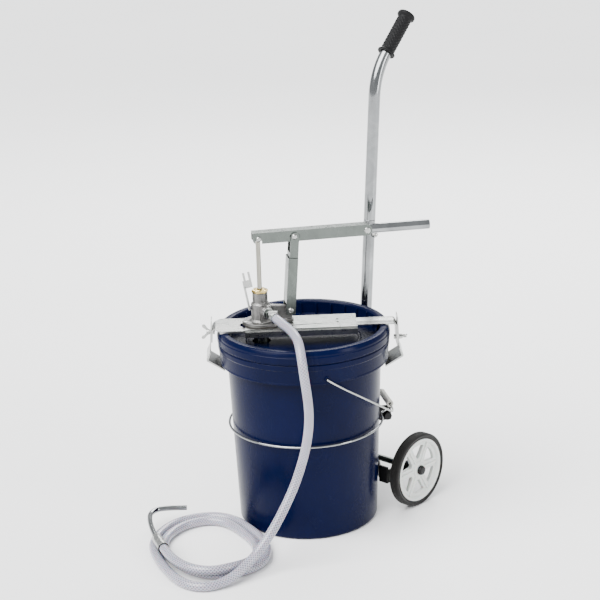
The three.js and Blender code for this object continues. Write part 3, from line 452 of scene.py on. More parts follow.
def belongs(obj, node):
    """An extra piece that moves with a CAD node's body."""
    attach(obj, NODES[node]["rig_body"])
    return obj


def look_of(node):
    return LOOK[SLOT_OF[node]]


def rounded(points, radius, steps=4, closed=True):
    """Turns each corner of an outline into a small curve. A third number in a point is its own radius."""
    made = []
    count = len(points)
    for i, point in enumerate(points):
        here = Vector(point[:2])
        reach = point[2] if len(point) > 2 else radius
        ends = not closed and i in (0, count - 1)
        if ends or reach <= 0:
            made.append(here)
            continue
        before = Vector(points[i - 1][:2]) - here
        after = Vector(points[(i + 1) % count][:2]) - here
        reach = min(reach, before.length * 0.45, after.length * 0.45)
        start = here + before.normalized() * reach
        end = here + after.normalized() * reach
        for k in range(steps + 1):
            t = k / steps
            made.append(start * (1 - t) ** 2 + here * 2 * t * (1 - t) + end * t**2)
    return made


def lathe(name, outline, material, sides=64, place=Matrix(), closed=True, wobble=None):
    """A body of revolution about Z, from [radius, z] pairs in millimetres."""
    bm = bmesh.new()
    rings = []
    for r, z in outline:
        if r < 1e-6:
            rings.append([bm.verts.new((0, 0, z * MM))])
            continue
        ring = []
        for i in range(sides):
            turn = 2 * math.pi * i / sides
            radius = r + (wobble(r, z, turn) if wobble else 0)
            ring.append(bm.verts.new((radius * math.cos(turn) * MM, radius * math.sin(turn) * MM, z * MM)))
        rings.append(ring)
    pairs = list(zip(rings, rings[1:]))
    if closed and not (len(rings[0]) == 1 and len(rings[-1]) == 1):
        pairs.append((rings[-1], rings[0]))
    for a, b in pairs:
        if len(a) == 1 and len(b) == 1:
            continue
        for i in range(sides):
            j = (i + 1) % sides
            if len(a) == 1:
                bm.faces.new((a[0], b[j], b[i]))
            elif len(b) == 1:
                bm.faces.new((a[i], a[j], b[0]))
            else:
                bm.faces.new((a[i], a[j], b[j], b[i]))
    bm.transform(place)
    return smooth(as_object(name, bm, material))


def prism(name, outline, low, high, material, place=Matrix()):
    """An outline of [x, y] pairs pushed up from low to high, in millimetres."""
    bm = bmesh.new()
    lower = [bm.verts.new((p[0] * MM, p[1] * MM, low * MM)) for p in outline]
    upper = [bm.verts.new((p[0] * MM, p[1] * MM, high * MM)) for p in outline]
    bm.faces.new(lower[::-1])
    bm.faces.new(upper)
    for i in range(len(outline)):
        j = (i + 1) % len(outline)
        bm.faces.new((lower[i], lower[j], upper[j], upper[i]))
    bm.transform(place)
    return as_object(name, bm, material)


def hexagon(radius):
    return [(radius * math.cos(k * 60 * DEG), radius * math.sin(k * 60 * DEG)) for k in range(6)]


def carved(obj, tools, operation="DIFFERENCE"):
    for tool in tools:
        modifier = obj.modifiers.new("cut", "BOOLEAN")
        modifier.operation = operation
        modifier.object = tool
        modifier.solver = "EXACT"
    baked(obj)
    for tool in tools:
        bpy.data.objects.remove(tool)
    return obj


def drill(radius, low, high, sides, place):
    """A plain round tool that cuts a hole."""
    return lathe("hole", [(0, low), (radius, low), (radius, high), (0, high)], DARK, sides, place)


def hexagon_block(name, radius, height, bevel, place):
    """A plated bolt head or nut."""
    return bevelled(prism(name, hexagon(radius), 0, height, LOOK["zinc_plate"], place), bevel)


def joined(name, parts):
    """One object from several, keeping each part's faces and materials."""
    bm = bmesh.new()
    materials = []
    for part in parts:
        material = part.data.materials[0]
        if material not in materials:
            materials.append(material)
        start = len(bm.faces)
        part.data.transform(part.matrix_world)
        bm.from_mesh(part.data)
        bm.faces.ensure_lookup_table()
        for face in bm.faces[start:]:
            face.material_index = materials.index(material)
        bpy.data.objects.remove(part)
    mesh = bpy.data.meshes.new(name)
    bm.to_mesh(mesh)
    bm.free()
    for material in materials:
        mesh.materials.append(material)
    obj = bpy.data.objects.new(name, mesh)
    bpy.context.scene.collection.objects.link(obj)
    return obj


def along(start, end):
    """The matrix that takes Z to the line from start to end, both in millimetres."""
    a, b = Vector(start) * MM, Vector(end) * MM
    turn = Vector((0, 0, 1)).rotation_difference((b - a).normalized())
    return Matrix.Translation(a) @ turn.to_matrix().to_4x4()


def copied(node):
    """A new mesh with the CAD node's shape, its flat faces whole again."""
    bm = bmesh.new()
    bm.from_mesh(NODES[node].data)
    bmesh.ops.remove_doubles(bm, verts=bm.verts, dist=2e-6)
    bmesh.ops.dissolve_limit(bm, angle_limit=0.6 * DEG, verts=bm.verts, edges=bm.edges)
    return as_object(node + "_fine", bm, look_of(node))


def refined(node, width=0.5, segments=2, material=None):
    obj = bevelled(copied(node), width, segments)
    if material:
        obj.data.materials[0] = material
    return stands_for(obj, node)


def cast_from(node, voxel=0.75, rounds=6):
    """The CAD node's shape with the soft inside corners and edges of a casting or moulding."""
    obj = copied(node)
    remesh = obj.modifiers.new("voxels", "REMESH")
    remesh.mode = "VOXEL"
    remesh.voxel_size = voxel * MM
    soften = obj.modifiers.new("soften", "SMOOTH")
    soften.factor = 0.5
    soften.iterations = rounds
    baked(obj)
    obj.data.materials.clear()
    obj.data.materials.append(look_of(node))
    obj.data.polygons.foreach_set("use_smooth", [True] * len(obj.data.polygons))
    return stands_for(obj, node)


# ---- curves ----
def spline(points, per_span=12):
    """A centripetal Catmull-Rom curve through the points."""
    pts = [Vector(p) for p in points]
    pts = [pts[0] * 2 - pts[1], *pts, pts[-1] * 2 - pts[-2]]
    made = []
    for i in range(1, len(pts) - 2):
        p0, p1, p2, p3 = pts[i - 1 : i + 3]
        t1 = max((p1 - p0).length, 1e-9) ** 0.5
        t2 = t1 + max((p2 - p1).length, 1e-9) ** 0.5
        t3 = t2 + max((p3 - p2).length, 1e-9) ** 0.5
        for k in range(per_span):
            t = t1 + (t2 - t1) * k / per_span
            a1 = p0 * ((t1 - t) / t1) + p1 * (t / t1)
            a2 = p1 * ((t2 - t) / (t2 - t1)) + p2 * ((t - t1) / (t2 - t1))
            a3 = p2 * ((t3 - t) / (t3 - t2)) + p3 * ((t - t2) / (t3 - t2))
            b1 = a1 * ((t2 - t) / t2) + a2 * (t / t2)
            b2 = a2 * ((t3 - t) / (t3 - t1)) + a3 * ((t - t1) / (t3 - t1))
            made.append(b1 * ((t2 - t) / (t2 - t1)) + b2 * ((t - t1) / (t2 - t1)))
    made.append(pts[-2])
    return made


def sweep(name, path, radius, material, sides=24, place=Matrix(), bore=0.0, depth=0.0):
    """A round bar along the path, in metres. With a bore, its last end is open to that depth."""
    pts = [place @ p for p in path]
    bm = bmesh.new()
    uv = bm.loops.layers.uv.new("UVMap")
    tangents = []
    for i in range(len(pts)):
        tangents.append((pts[min(i + 1, len(pts) - 1)] - pts[max(i - 1, 0)]).normalized())
    side = tangents[0].orthogonal().normalized()
    rings, runs, run = [], [], 0.0
    for i, point in enumerate(pts):
        if i:
            run += (point - pts[i - 1]).length
            side = tangents[i - 1].rotation_difference(tangents[i]) @ side
        side = (side - tangents[i] * side.dot(tangents[i])).normalized()
        other = tangents[i].cross(side)
        ring = []
        for k in range(sides):
            turn = 2 * math.pi * k / sides
            ring.append(bm.verts.new(point + (side * math.cos(turn) + other * math.sin(turn)) * radius))
        rings.append(ring)
        runs.append(run)
    for i in range(len(rings) - 1):
        for k in range(sides):
            j = (k + 1) % sides
            face = bm.faces.new((rings[i][k], rings[i][j], rings[i + 1][j], rings[i + 1][k]))
            values = ((k, i), (k + 1, i), (k + 1, i + 1), (k, i + 1))
            for loop, (u, v) in zip(face.loops, values):
                loop[uv].uv = (u / sides, runs[v])
    bm.faces.new(rings[0][::-1])
    # The bore's walls and floor take the near-black DARK material: painted shade in place of the shaded metal
    # inside the pipe.
    if bore:
        mouth = [bm.verts.new(pts[-1] + (v.co - pts[-1]) * (bore / radius)) for v in rings[-1]]
        back = [bm.verts.new(v.co - tangents[-1] * depth) for v in mouth]
        for k in range(sides):
            j = (k + 1) % sides
            bm.faces.new((rings[-1][k], rings[-1][j], mouth[j], mouth[k]))
            inner = bm.faces.new((mouth[k], mouth[j], back[j], back[k]))
            inner.material_index = 1
        bm.faces.new(back).material_index = 1
    else:
        bm.faces.new(rings[-1])
    obj = as_object(name, bm, material)
    if bore:
        obj.data.materials.append(DARK)
    return smooth(obj, 40)


def scaled(points):
    return [Vector(p) * MM for p in points]


# ---- hose, its ferrule and nozzle: the cord comes first ----
HOSE_RADIUS = 0.00825
HOSE_POINTS = scaled(
    [
        (-53.7, -42.6, 397.6), (-46, -56, 396), (-35, -78, 393), (-24, -101, 390), (-17, -124, 386.8),
        (-12.5, -144, 382.3), (-9.5, -165.4, 368.2), (-7, -179, 346.3), (-4, -184, 321),
        (-1, -185.5, 295), (1, -186, 259), (-5.5, -190, 208), (-23.5, -201, 154), (-36, -212, 128),
        (-63, -230, 82), (-89.5, -243, 46), (-114, -266, 28), (-140, -289, 15), (-166, -304, 9.4),
        (-197, -310, 8.4), (-232, -286, 8.4), (-260, -230, 8.4), (-280, -170, 8.4), (-284, -128, 8.4),
        (-271, -82, 8.4), (-238, -40, 8.4), (-178, -23, 8.4), (-136, -48, 8.4), (-114, -83, 8.4),
        (-96, -116, 8.4), (-80, -167, 8.4), (-86, -220, 8.4), (-114, -252, 8.4), (-150, -265, 8.4),
        (-186, -262, 8.4), (-222, -238, 8.4), (-246, -200, 8.4), (-262, -160, 8.4), (-265, -126, 8.4),
        (-254, -92, 8.4), (-229, -59, 8.4), (-184, -42, 8.4), (-149, -61, 8.4), (-128, -93, 8.4),
        (-111, -124, 8.4), (-98, -168, 8.4), (-103, -206, 9.4), (-118, -240, 15.4), (-142, -268, 23.4),
        (-176, -283, 24.9), (-211, -272, 24.9), (-243, -235, 24.9), (-262, -190, 25.9),
    ]
)
NOZZLE_POINTS = scaled(
    [
        (-280.5, -137, 28), (-287, -108, 29), (-292, -72, 29.5), (-291, -50, 29.5), (-281, -34, 29.5),
        (-262, -28, 29), (-226, -26, 28),
    ]
)


def relaxed(path, rounds):
    """Evens out a hose's bends, as its own stiffness does, and keeps both ends where they are."""
    held = 3
    for _ in range(rounds):
        middle = [(a + b * 2 + c) / 4 for a, b, c in zip(path, path[1:], path[2:])][held - 1 : 1 - held]
        path = path[:held] + middle + path[-held:]
    return path


def make_hose():
    path = relaxed(spline(HOSE_POINTS, 9), 24)
    hose = stands_for(sweep("hose", path, HOSE_RADIUS, LOOK["hose_pvc"], 28), "hose_run")
    start, end = HOSE_POINTS[-1], NOZZLE_POINTS[0]
    way = (end - start).normalized()
    reach = (end - start).length / MM
    place = along(start / MM, end / MM)
    sleeve = lathe(
        "ferrule_sleeve",
        rounded(
            [
                (7.2, 3.6), (9.6, 3.6), (9.6, 7), (8.9, 8.4), (9.4, 11), (9.4, 20), (8.9, 21.4),
                (9.4, 23), (9.4, reach - 20), (8.6, reach - 18), (5.6, reach - 18),
            ],
            0.5,
        ),
        LOOK["zinc_plate"],
        56,
        place,
    )
    band = lathe(
        "ferrule_band",
        rounded([(8.4, 0.4), (9.8, 0.4), (10.1, 2), (9.8, 3.5), (8.4, 3.5)], 0.4),
        DARK,
        56,
        place,
    )
    nut = bevelled(
        prism("ferrule_nut", hexagon(8.9), reach - 17.6, reach - 9, LOOK["zinc_plate"], place),
        0.6,
    )
    collar = lathe(
        "ferrule_collar",
        rounded([(4.9, reach - 9.2), (6.9, reach - 9.2), (6.6, reach - 6.4), (4.9, reach - 5.6)], 0.5),
        LOOK["zinc_plate"],
        40,
        place,
    )
    ferrule = stands_for(joined("ferrule", [sleeve, nut, collar, band]), "hose_ferrule")
    root = end - way * 0.0063
    # The nozzle's bore is painted near-black inside: painted shade.
    tip = sweep(
        "nozzle",
        spline([root, *NOZZLE_POINTS[1:]], 14),
        0.0048,
        LOOK["chrome"],
        36,
        bore=0.0037,
        depth=0.012,
    )
    stands_for(tip, "nozzle_pipe")


make_hose()


# ---- pail and lid ----
def make_pail():
    outline = rounded(
        [
            (0, 2.4), (118, 2.4), (119.5, 0.0, 1), (124, 0.0, 2), (127.1, 4, 4), (139.1, 301, 1),
            (141, 334, 3), (152, 339.6, 2), (150.3, 307, 0.4), (150.3, 305.6, 0.5),
            (152.8, 305.6, 0.9), (152.9, 308.6, 0.5), (152.4, 309.4, 0.4), (153.9, 331.6, 0.4),
            (155.2, 333.4, 0.7), (155.2, 341.6, 0.8), (154.2, 342.6, 0.5), (146, 342.6, 0.5),
            (146, 362.6, 1.2), (143.2, 362.6, 1), (143.2, 343, 1), (138.2, 334, 2), (136.4, 300, 2),
            (124.2, 7, 3), (0, 5.4),
        ],
        1,
        5,
        closed=False,
    )
    shell = lathe("pail_shell", outline, LOOK["navy_enamel"], 192)
    places = [EAR_FRAME @ along((0, side * 152, 315), (0, side * 155.6, 315)) for side in (-1, 1)]
    holes = [drill(2.8, -6, 6, 32, place) for place in places]
    stands_for(smooth(carved(shell, holes)), "pail")
    for place, name in zip(places, ("near", "far")):
        ring = rounded([(2.8, -1), (5.6, -1), (5.3, 3, 0.8), (4.6, 3.5, 0.5), (2.8, 3.5, 0.5)], 0.3)
        belongs(lathe("pail_ear_" + name, ring, LOOK["navy_enamel"], 48, place), "pail")


def make_lid():
    outline = rounded(
        [
            (0, 341), (98, 341, 0.6), (99.5, 342.2, 0.8), (103, 342.2, 0.8), (104.5, 341, 0.6),
            (134, 341, 1.5), (137.8, 343, 3), (138.8, 364.6, 1.6), (141.4, 367.9, 1.6),
            (150.4, 367.9, 1.8), (152.8, 366.2, 1.2), (155.1, 361, 1), (155.2, 357.6, 0.5),
            (156.3, 356.6, 0.6), (156.3, 346.4, 0.6), (155.3, 345.4, 0.4), (155.5, 343.8, 0.5),
            (154.8, 343.5, 0.3), (148, 343.5, 0.4), (147, 344.5, 0.5), (147, 365, 1.5),
            (143.6, 365.6, 1), (141.2, 342, 2), (136, 338.6, 1), (0, 338.6),
        ],
        0.6,
        5,
        closed=False,
    )
    lid = lathe("lid_plate", outline, LOOK["navy_enamel"], 192)
    hole = drill(17, 330, 350, 48, PUMP_PLACE)
    smooth(carved(lid, [hole]))
    stands_for(lid, "lid")
    side = rounded([(133.4, 340.4), (139.3, 340.4), (139.3, 363.4), (136.8, 363.4), (133.4, 342)], 1.2, 4)
    ribs = []
    for i in range(30):
        place = Matrix.Rotation((i + 0.5) * 12 * DEG, 4, "Z") @ Matrix.Rotation(math.pi / 2, 4, "X")
        ribs.append(
            bevelled(prism("rib", [tuple(p) for p in side], -1.4, 1.4, LOOK["navy_enamel"], place), 0.6, 2)
        )
    belongs(joined("lid_ribs", ribs), "lid")


make_pail()
make_lid()


# ---- clamp ----
def strip(name, path, section, material, place):
    """A flat strip bent along a path in X and Z; the section is [across, out] pairs about the path's line."""
    bm = bmesh.new()
    pts = [Vector((x, z)) for x, z in path]
    rings = []
    for i, p in enumerate(pts):
        ahead = (pts[min(i + 1, len(pts) - 1)] - pts[max(i - 1, 0)]).normalized()
        out = Vector((-ahead.y, ahead.x))
        ring = []
        for across, lift in section:
            q = p + out * lift
            ring.append(bm.verts.new((q.x * MM, across * MM, q.y * MM)))
        rings.append(ring)
    count = len(section)
    for a, b in zip(rings, rings[1:]):
        for k in range(count):
            j = (k + 1) % count
            bm.faces.new((a[k], a[j], b[j], b[k]))
    bm.faces.new(rings[0][::-1])
    bm.faces.new(rings[-1])
    bm.transform(place)
    return as_object(name, bm, material)


# Where each leg stands: its outer face, the top of the strip above it, the lean, the bolt and the ear's turn.
LEGS = {
    "left": {
        "place": LEFT_FRAME,
        "out": 165,
        "top": 373.8,
        "sheet": 2.2,
        "splay": 4,
        "bolt": 360.5,
        "turn": 4,
    },
    "right": {
        "place": RIGHT_FRAME,
        "out": 168.5,
        "top": 371.3,
        "sheet": 2.7,
        "splay": 2,
        "bolt": 338.5,
        "turn": 62,
    },
}
BEND = 8


def leg_frame(leg):
    """Leans a leg's pieces about the centre of its bend."""
    centre = Vector((leg["out"] - BEND, 0, leg["top"] - BEND)) * MM
    lean = Matrix.Rotation(-leg["splay"] * DEG, 4, "Y")
    return leg["place"] @ Matrix.Translation(centre) @ lean @ Matrix.Translation(-centre)


def arm_path(start, foot):
    """The line of the arm's top and outer face, with its leg not yet leaned."""
    leg = LEGS["right"]
    x, z = leg["out"] - BEND, leg["top"] - BEND
    lean = leg["splay"] * DEG
    turns = [90 * DEG - (90 * DEG - lean) * k / 8 for k in range(9)]
    bend = [(x + BEND * math.cos(t), z + BEND * math.sin(t)) for t in turns]
    drop = z - foot
    end = (bend[-1][0] + drop * math.sin(lean), bend[-1][1] - drop * math.cos(lean))
    return [(start, leg["top"]), *bend, end]


def groove_section(half, sheet, groove):
    """The cross-section of an arm: a flat strip with a shallow channel pressed along its middle."""
    return [
        (-half, 0), (-groove - 1.4, 0), (-groove, -0.9), (groove, -0.9), (groove + 1.4, 0), (half, 0),
        (half, -sheet), (-half, -sheet),
    ]


def make_clamp():
    refined("clamp_channel", 0.55, 3)
    arm = strip(
        "clamp_arm_fine",
        arm_path(20, 328),
        groove_section(19.5, 2.7, 5),
        LOOK["zinc_plate"],
        RIGHT_FRAME,
    )
    bolt_line = leg_frame(LEGS["right"]) @ along((168, 0, 338.5), (169, 0, 338.5))
    hole = drill(3.3, -12, 12, 32, bolt_line)
    stands_for(bevelled(carved(arm, [hole]), 0.45, 2), "clamp_arm")
    for name, leg in LEGS.items():
        refined("hook_" + name, 0.4, 2)
        place = leg_frame(leg)
        inner, z = leg["out"] - leg["sheet"], leg["bolt"]
        head = hexagon_block("head", 4.6, 3.2, 0.4, place @ along((inner - 3.6, 0, z), (inner, 0, z)))
        shank_place = place @ along((inner - 0.5, 0, z), (inner, 0, z))
        shank = threaded("shank", 2.9, 0, leg["sheet"] + 8.4, shank_place)
        stands_for(joined("hook_bolt_" + name + "_fine", [head, shank]), "hook_bolt_" + name)
        stands_for(wing_nut(name, leg), "wing_nut_" + name)


def threaded(name, radius, low, high, place, pitch=1.0):
    """A plain bolt shank with the rings of a thread."""
    outline = [(0, low), (radius - 0.35, low)]
    z = low + 0.3
    while z + pitch < high:
        outline += [(radius, z + pitch * 0.25), (radius, z + pitch * 0.4), (radius - 0.35, z + pitch * 0.85)]
        z += pitch
    outline += [(radius - 0.4, high - 0.2), (radius - 0.9, high), (0, high)]
    return lathe(name, outline, LOOK["zinc_plate"], 28, place)


def wing_nut(name, leg):
    """A round hub with two ears that splay outwards from it."""
    start = leg["out"] + 2.6
    raised = leg_frame(leg) @ Matrix.Translation((0, 0, leg["bolt"] * MM))
    turned = raised @ Matrix.Rotation(leg["turn"] * DEG, 4, "X")
    hub = lathe(
        "hub",
        rounded([(3.2, 0), (4.7, 0), (4.7, 2), (4.2, 7), (3.2, 7)], 0.6),
        LOOK["zinc_plate"],
        40,
        turned @ along((start, 0, 0), (start + 1, 0, 0)),
    )
    ear = [
        (1.5, 2.4), (7, 2.4), (9.5, 5), (14.6, 8.4), (15.5, 11.5), (13.4, 14), (9.6, 12.6), (5.6, 7),
        (1.5, 4),
    ]
    outline = rounded(ear, 1.8, 4)
    upright = turned @ Matrix.Rotation(math.pi / 2, 4, "X")
    wings = []
    for up in (-1, 1):
        flat = [(start + p[0], up * p[1]) for p in outline]
        wings.append(bevelled(prism("wing", flat, -1.3, 1.3, LOOK["zinc_plate"], upright), 0.6, 3))
    return joined("wing_nut_" + name + "_fine", [hub, *wings])


make_clamp()


# ---- pump ----
def outlet_line(reach, z=400):
    turn = -68.7 * DEG
    return (reach * math.cos(turn), reach * math.sin(turn), z)


def pin(name, start, end, radius, head, head_height, material=None, place=PUMP_FRAME):
    """A cross pin with a rounded head at both ends, between two points in millimetres."""
    reach = (Vector(end) - Vector(start)).length
    outline = rounded(
        [
            (0, -head_height), (head * 0.7, -head_height, 1.2), (head, -head_height * 0.35, 1),
            (head, 0, 0.2), (radius, 0, 0), (radius, reach, 0), (head, reach, 0.2),
            (head, reach + head_height * 0.35, 1), (head * 0.7, reach + head_height, 1.2),
            (0, reach + head_height),
        ],
        0.3,
        4,
        closed=False,
    )
    return lathe(name, outline, material or LOOK["zinc_plate"], 40, place @ along(start, end))


def make_pump():
    cast_from("pump_body", 0.7, 5)
    for index, (turn, reach) in enumerate(((-52, 29), (52, 29), (180, 27))):
        x, y = reach * math.cos(turn * DEG), reach * math.sin(turn * DEG)
        turned = Matrix.Rotation((index * 50 + 25) * DEG, 4, "Z")
        place = PUMP_FRAME @ Matrix.Translation((x * MM, y * MM, 0)) @ turned
        cone = [(0, 377.4), (2.5, 377.4), (4.5, 379.7), (4.5, 380.3), (0, 380.3)]
        head = lathe("head", rounded(cone, 0.2, 3, closed=False), LOOK["zinc_plate"], 40, place)
        slot = prism("slot", [(-6, -0.6), (6, -0.6), (6, 0.6), (-6, 0.6)], 379.3, 381, DARK, place)
        shank = threaded("shank", 2.6, 372, 378, place)
        name = "flange_screw_" + str(index + 1)
        stands_for(joined(name + "_fine", [carved(head, [slot]), shank]), name)
    nut = bevelled(prism("nut", hexagon(15.2), 432.9, 437.9, LOOK["cast_brass"], PUMP_FRAME), 0.9, 3)
    nut = carved(nut, [drill(4.6, 420, 450, 40, PUMP_FRAME)])
    dome = rounded([(4.7, 437.2), (10.4, 437.2), (9.4, 438.8), (5.4, 438.8)], 0.6)
    crown = lathe("crown", dome, LOOK["cast_brass"], 56, PUMP_FRAME)
    sleeve = rounded([(4.7, 423.6), (8.5, 423.6), (8.5, 433.2), (4.7, 433.2)], 0.4)
    plug = lathe("plug", sleeve, LOOK["cast_brass"], 48, PUMP_FRAME)
    stands_for(joined("gland_nut_fine", [nut, crown, plug]), "gland_nut")
    place = PUMP_FRAME @ along(outlet_line(26.3), outlet_line(27.3))
    washer = lathe(
        "washer",
        rounded([(3, 0), (10.2, 0), (10.2, 1.9), (3, 1.9)], 0.5),
        LOOK["zinc_plate"],
        56,
        place,
    )
    hexed = bevelled(prism("hex", hexagon(8.4), 2, 8.6, LOOK["bare_steel"], place), 0.6, 3)
    barb_place = PUMP_FRAME @ along(outlet_line(34.3), outlet_line(43.8, 398))
    barb = lathe(
        "barb",
        rounded(
            [(0, 0), (5.4, 0), (5.4, 2), (4.4, 3), (5.8, 4.2), (4.6, 7), (5.6, 7.3), (4.2, 9.5), (0, 9.5)],
            0.3,
        ),
        LOOK["bare_steel"],
        48,
        barb_place,
    )
    stands_for(joined("outlet_fitting_fine", [washer, hexed, barb]), "outlet_fitting")
    refined("hose_clamp", 0.4, 2)
    refined("nozzle_rest", 0.45, 2)
    rod = lathe(
        "rod",
        rounded(
            [(0, 116), (4.2, 116, 0.6), (4.2, 526.5, 0.3), (3.4, 527.5, 0.3), (3.4, 530), (0, 530)],
            0.4,
            3,
            closed=False,
        ),
        ROD_LOOK,
        48,
        PUMP_FRAME,
    )
    ring = rounded([(3.3, -4), (6, -4), (6, 4), (3.3, 4)], 0.6)
    eye = lathe("eye", ring, ROD_LOOK, 48, PUMP_FRAME @ along((0, 0, 534), (0, 1, 534)))
    stands_for(joined("piston_rod_fine", [rod, eye]), "piston_rod")
    half = 11.6
    stands_for(pin("rod_pin_fine", (0, -half, 534), (0, half, 534), 3, 4.6, 2.4), "rod_pin")


def make_lever():
    refined("lever_channel", 0.6, 3)
    z = 545 - 10.7
    tube = lathe(
        "lever_tube_fine",
        rounded([(7.1, 172), (8.65, 172), (8.65, 313), (7.1, 313)], 0.4),
        LOOK["chrome"],
        72,
        PUMP_FRAME @ Matrix.Translation((0, 0, z * MM)) @ Matrix.Rotation(math.pi / 2, 4, "Y"),
    )
    stands_for(tube, "lever_tube")
    x = 197
    stands_for(pin("lever_rivet_fine", (x, -11.4, z), (x, 11.4, z), 3, 5.8, 2.0), "lever_rivet")
    for name in ("link_lower", "link_upper"):
        refined(name, 0.5, 2)
    stands_for(pin("link_top_pin_fine", (64, -13.7, 534), (64, 13.7, 534), 3, 4.8, 2.3), "link_top_pin")
    stands_for(pin("link_base_pin_fine", (53, -15.9, 398), (53, 15.9, 398), 3, 4.8, 2.3), "link_base_pin")


make_pump()
make_lever()


# ---- trolley ----
FOOT, LEAN = 144, 0.0893


def tube_x(z):
    return FOOT + LEAN * z


def handle_bend():
    """The points of the upper tube's line, from the joint to the grip's end."""
    joint, bend, knee, grip = 521.3, 120, 791.5, 85
    lean = math.atan(LEAN)
    turn = 45 * DEG - lean
    reach = bend * math.tan(turn / 2)
    start_x = tube_x(knee) - reach * math.sin(lean)
    start_z = knee - reach * math.cos(lean)
    centre_x = start_x + bend * math.cos(lean)
    centre_z = start_z - bend * math.sin(lean)
    points = [
        (tube_x(joint), 0, joint), (tube_x(joint + 60), 0, joint + 60),
        (tube_x(start_z - 40), 0, start_z - 40),
    ]
    for k in range(25):
        t = lean + turn * k / 24
        points.append((centre_x - bend * math.cos(t), 0, centre_z + bend * math.sin(t)))
    end = points[-1]
    points.append((end[0] + (grip + 2) * math.sqrt(0.5), 0, end[2] + (grip + 2) * math.sqrt(0.5)))
    return points, end


def make_handle():
    points, grip_start = handle_bend()
    upper = sweep("handle_upper_tube_fine", scaled(points), 0.01085, LOOK["chrome"], 56, CARRIER_FRAME)
    stands_for(upper, "handle_upper_tube")
    low, high = 58, 521
    place = CARRIER_FRAME @ along((tube_x(low), 0, low), (tube_x(high), 0, high))
    reach = (high - low) * math.sqrt(1 + LEAN**2)
    lower = lathe(
        "handle_lower_tube_fine",
        rounded(
            [
                (0, 0), (10.2, 0, 0.5), (10.85, 0.8, 0.5), (10.85, reach - 0.6, 0.4),
                (10.3, reach, 0.2), (0, reach),
            ],
            0.3,
            3,
            closed=False,
        ),
        LOOK["chrome"],
        72,
        place,
    )
    stands_for(lower, "handle_lower_tube")
    belongs(joint_plug(), "handle_lower_tube")
    make_grip(grip_start)
    x = tube_x(495)
    out = 11.15
    head_place = CARRIER_FRAME @ along((x, out, 495), (x, out + 1, 495))
    nut_place = CARRIER_FRAME @ along((x, -out, 495), (x, -out - 1, 495))
    head = hexagon_block("head", 5.5, 3.8, 0.45, head_place)
    stands_for(joined("handle_bolt_fine", [head, threaded("shank", 2.9, 0, 9, nut_place)]), "handle_bolt")
    stands_for(hexagon_block("nut", 6, 5.6, 0.5, nut_place), "handle_nut")


def joint_plug():
    """The dark line of the joint, where the upper tube meets the lower one."""
    place = CARRIER_FRAME @ along((tube_x(520.6), 0, 520.6), (tube_x(521.6), 0, 521.6))
    outline = rounded([(0, -0.4), (10.5, -0.4), (10.5, 1.6), (0, 1.6)], 0.2, 2, closed=False)
    return lathe("handle_joint", outline, DARK, 64, place)


def make_grip(start):
    length = 85

    def knurl(r, z, turn):
        if not 8 < z < length - 8 or r < 12:
            return 0
        fade = min(1, (z - 8) / 2, (length - 8 - z) / 2)
        across = math.cos(12 * turn + z * 0.9) + math.cos(12 * turn - z * 0.9)
        return 0.34 * fade * across

    body = [(11.0, 0.2), (15.8, 0), (16.8, 1), (16.8, 2.6), (15.6, 3.6), (13.8, 5), (13.1, 7)]
    body += [(13.0, 8 + k * 0.75) for k in range(93)]
    body += [(13.1, length - 7), (13.8, length - 5.4), (15.8, length - 3.8), (16.8, length - 2.4)]
    body += [(16.8, length + 1), (15.6, length + 3.4), (12.5, length + 5), (8, length + 5.7), (0, length + 6)]
    outline = [(0, length + 3), (11.0, length + 3), *body]
    x, _, z = start
    place = CARRIER_FRAME @ Matrix.Translation((x * MM, 0, z * MM)) @ Matrix.Rotation(45 * DEG, 4, "Y")
    grip = lathe("handle_grip_fine", outline, LOOK["grip_rubber"], 120, place, wobble=knurl)
    stands_for(grip, "handle_grip")


def wheel_frame(side):
    """Takes Z to the wheel's axis, from its inner face outwards."""
    centre = Matrix.Translation((0.15025, side * 0.128, 0.070))
    return CARRIER_FRAME @ centre @ Matrix.Rotation(side * -90 * DEG, 4, "X")


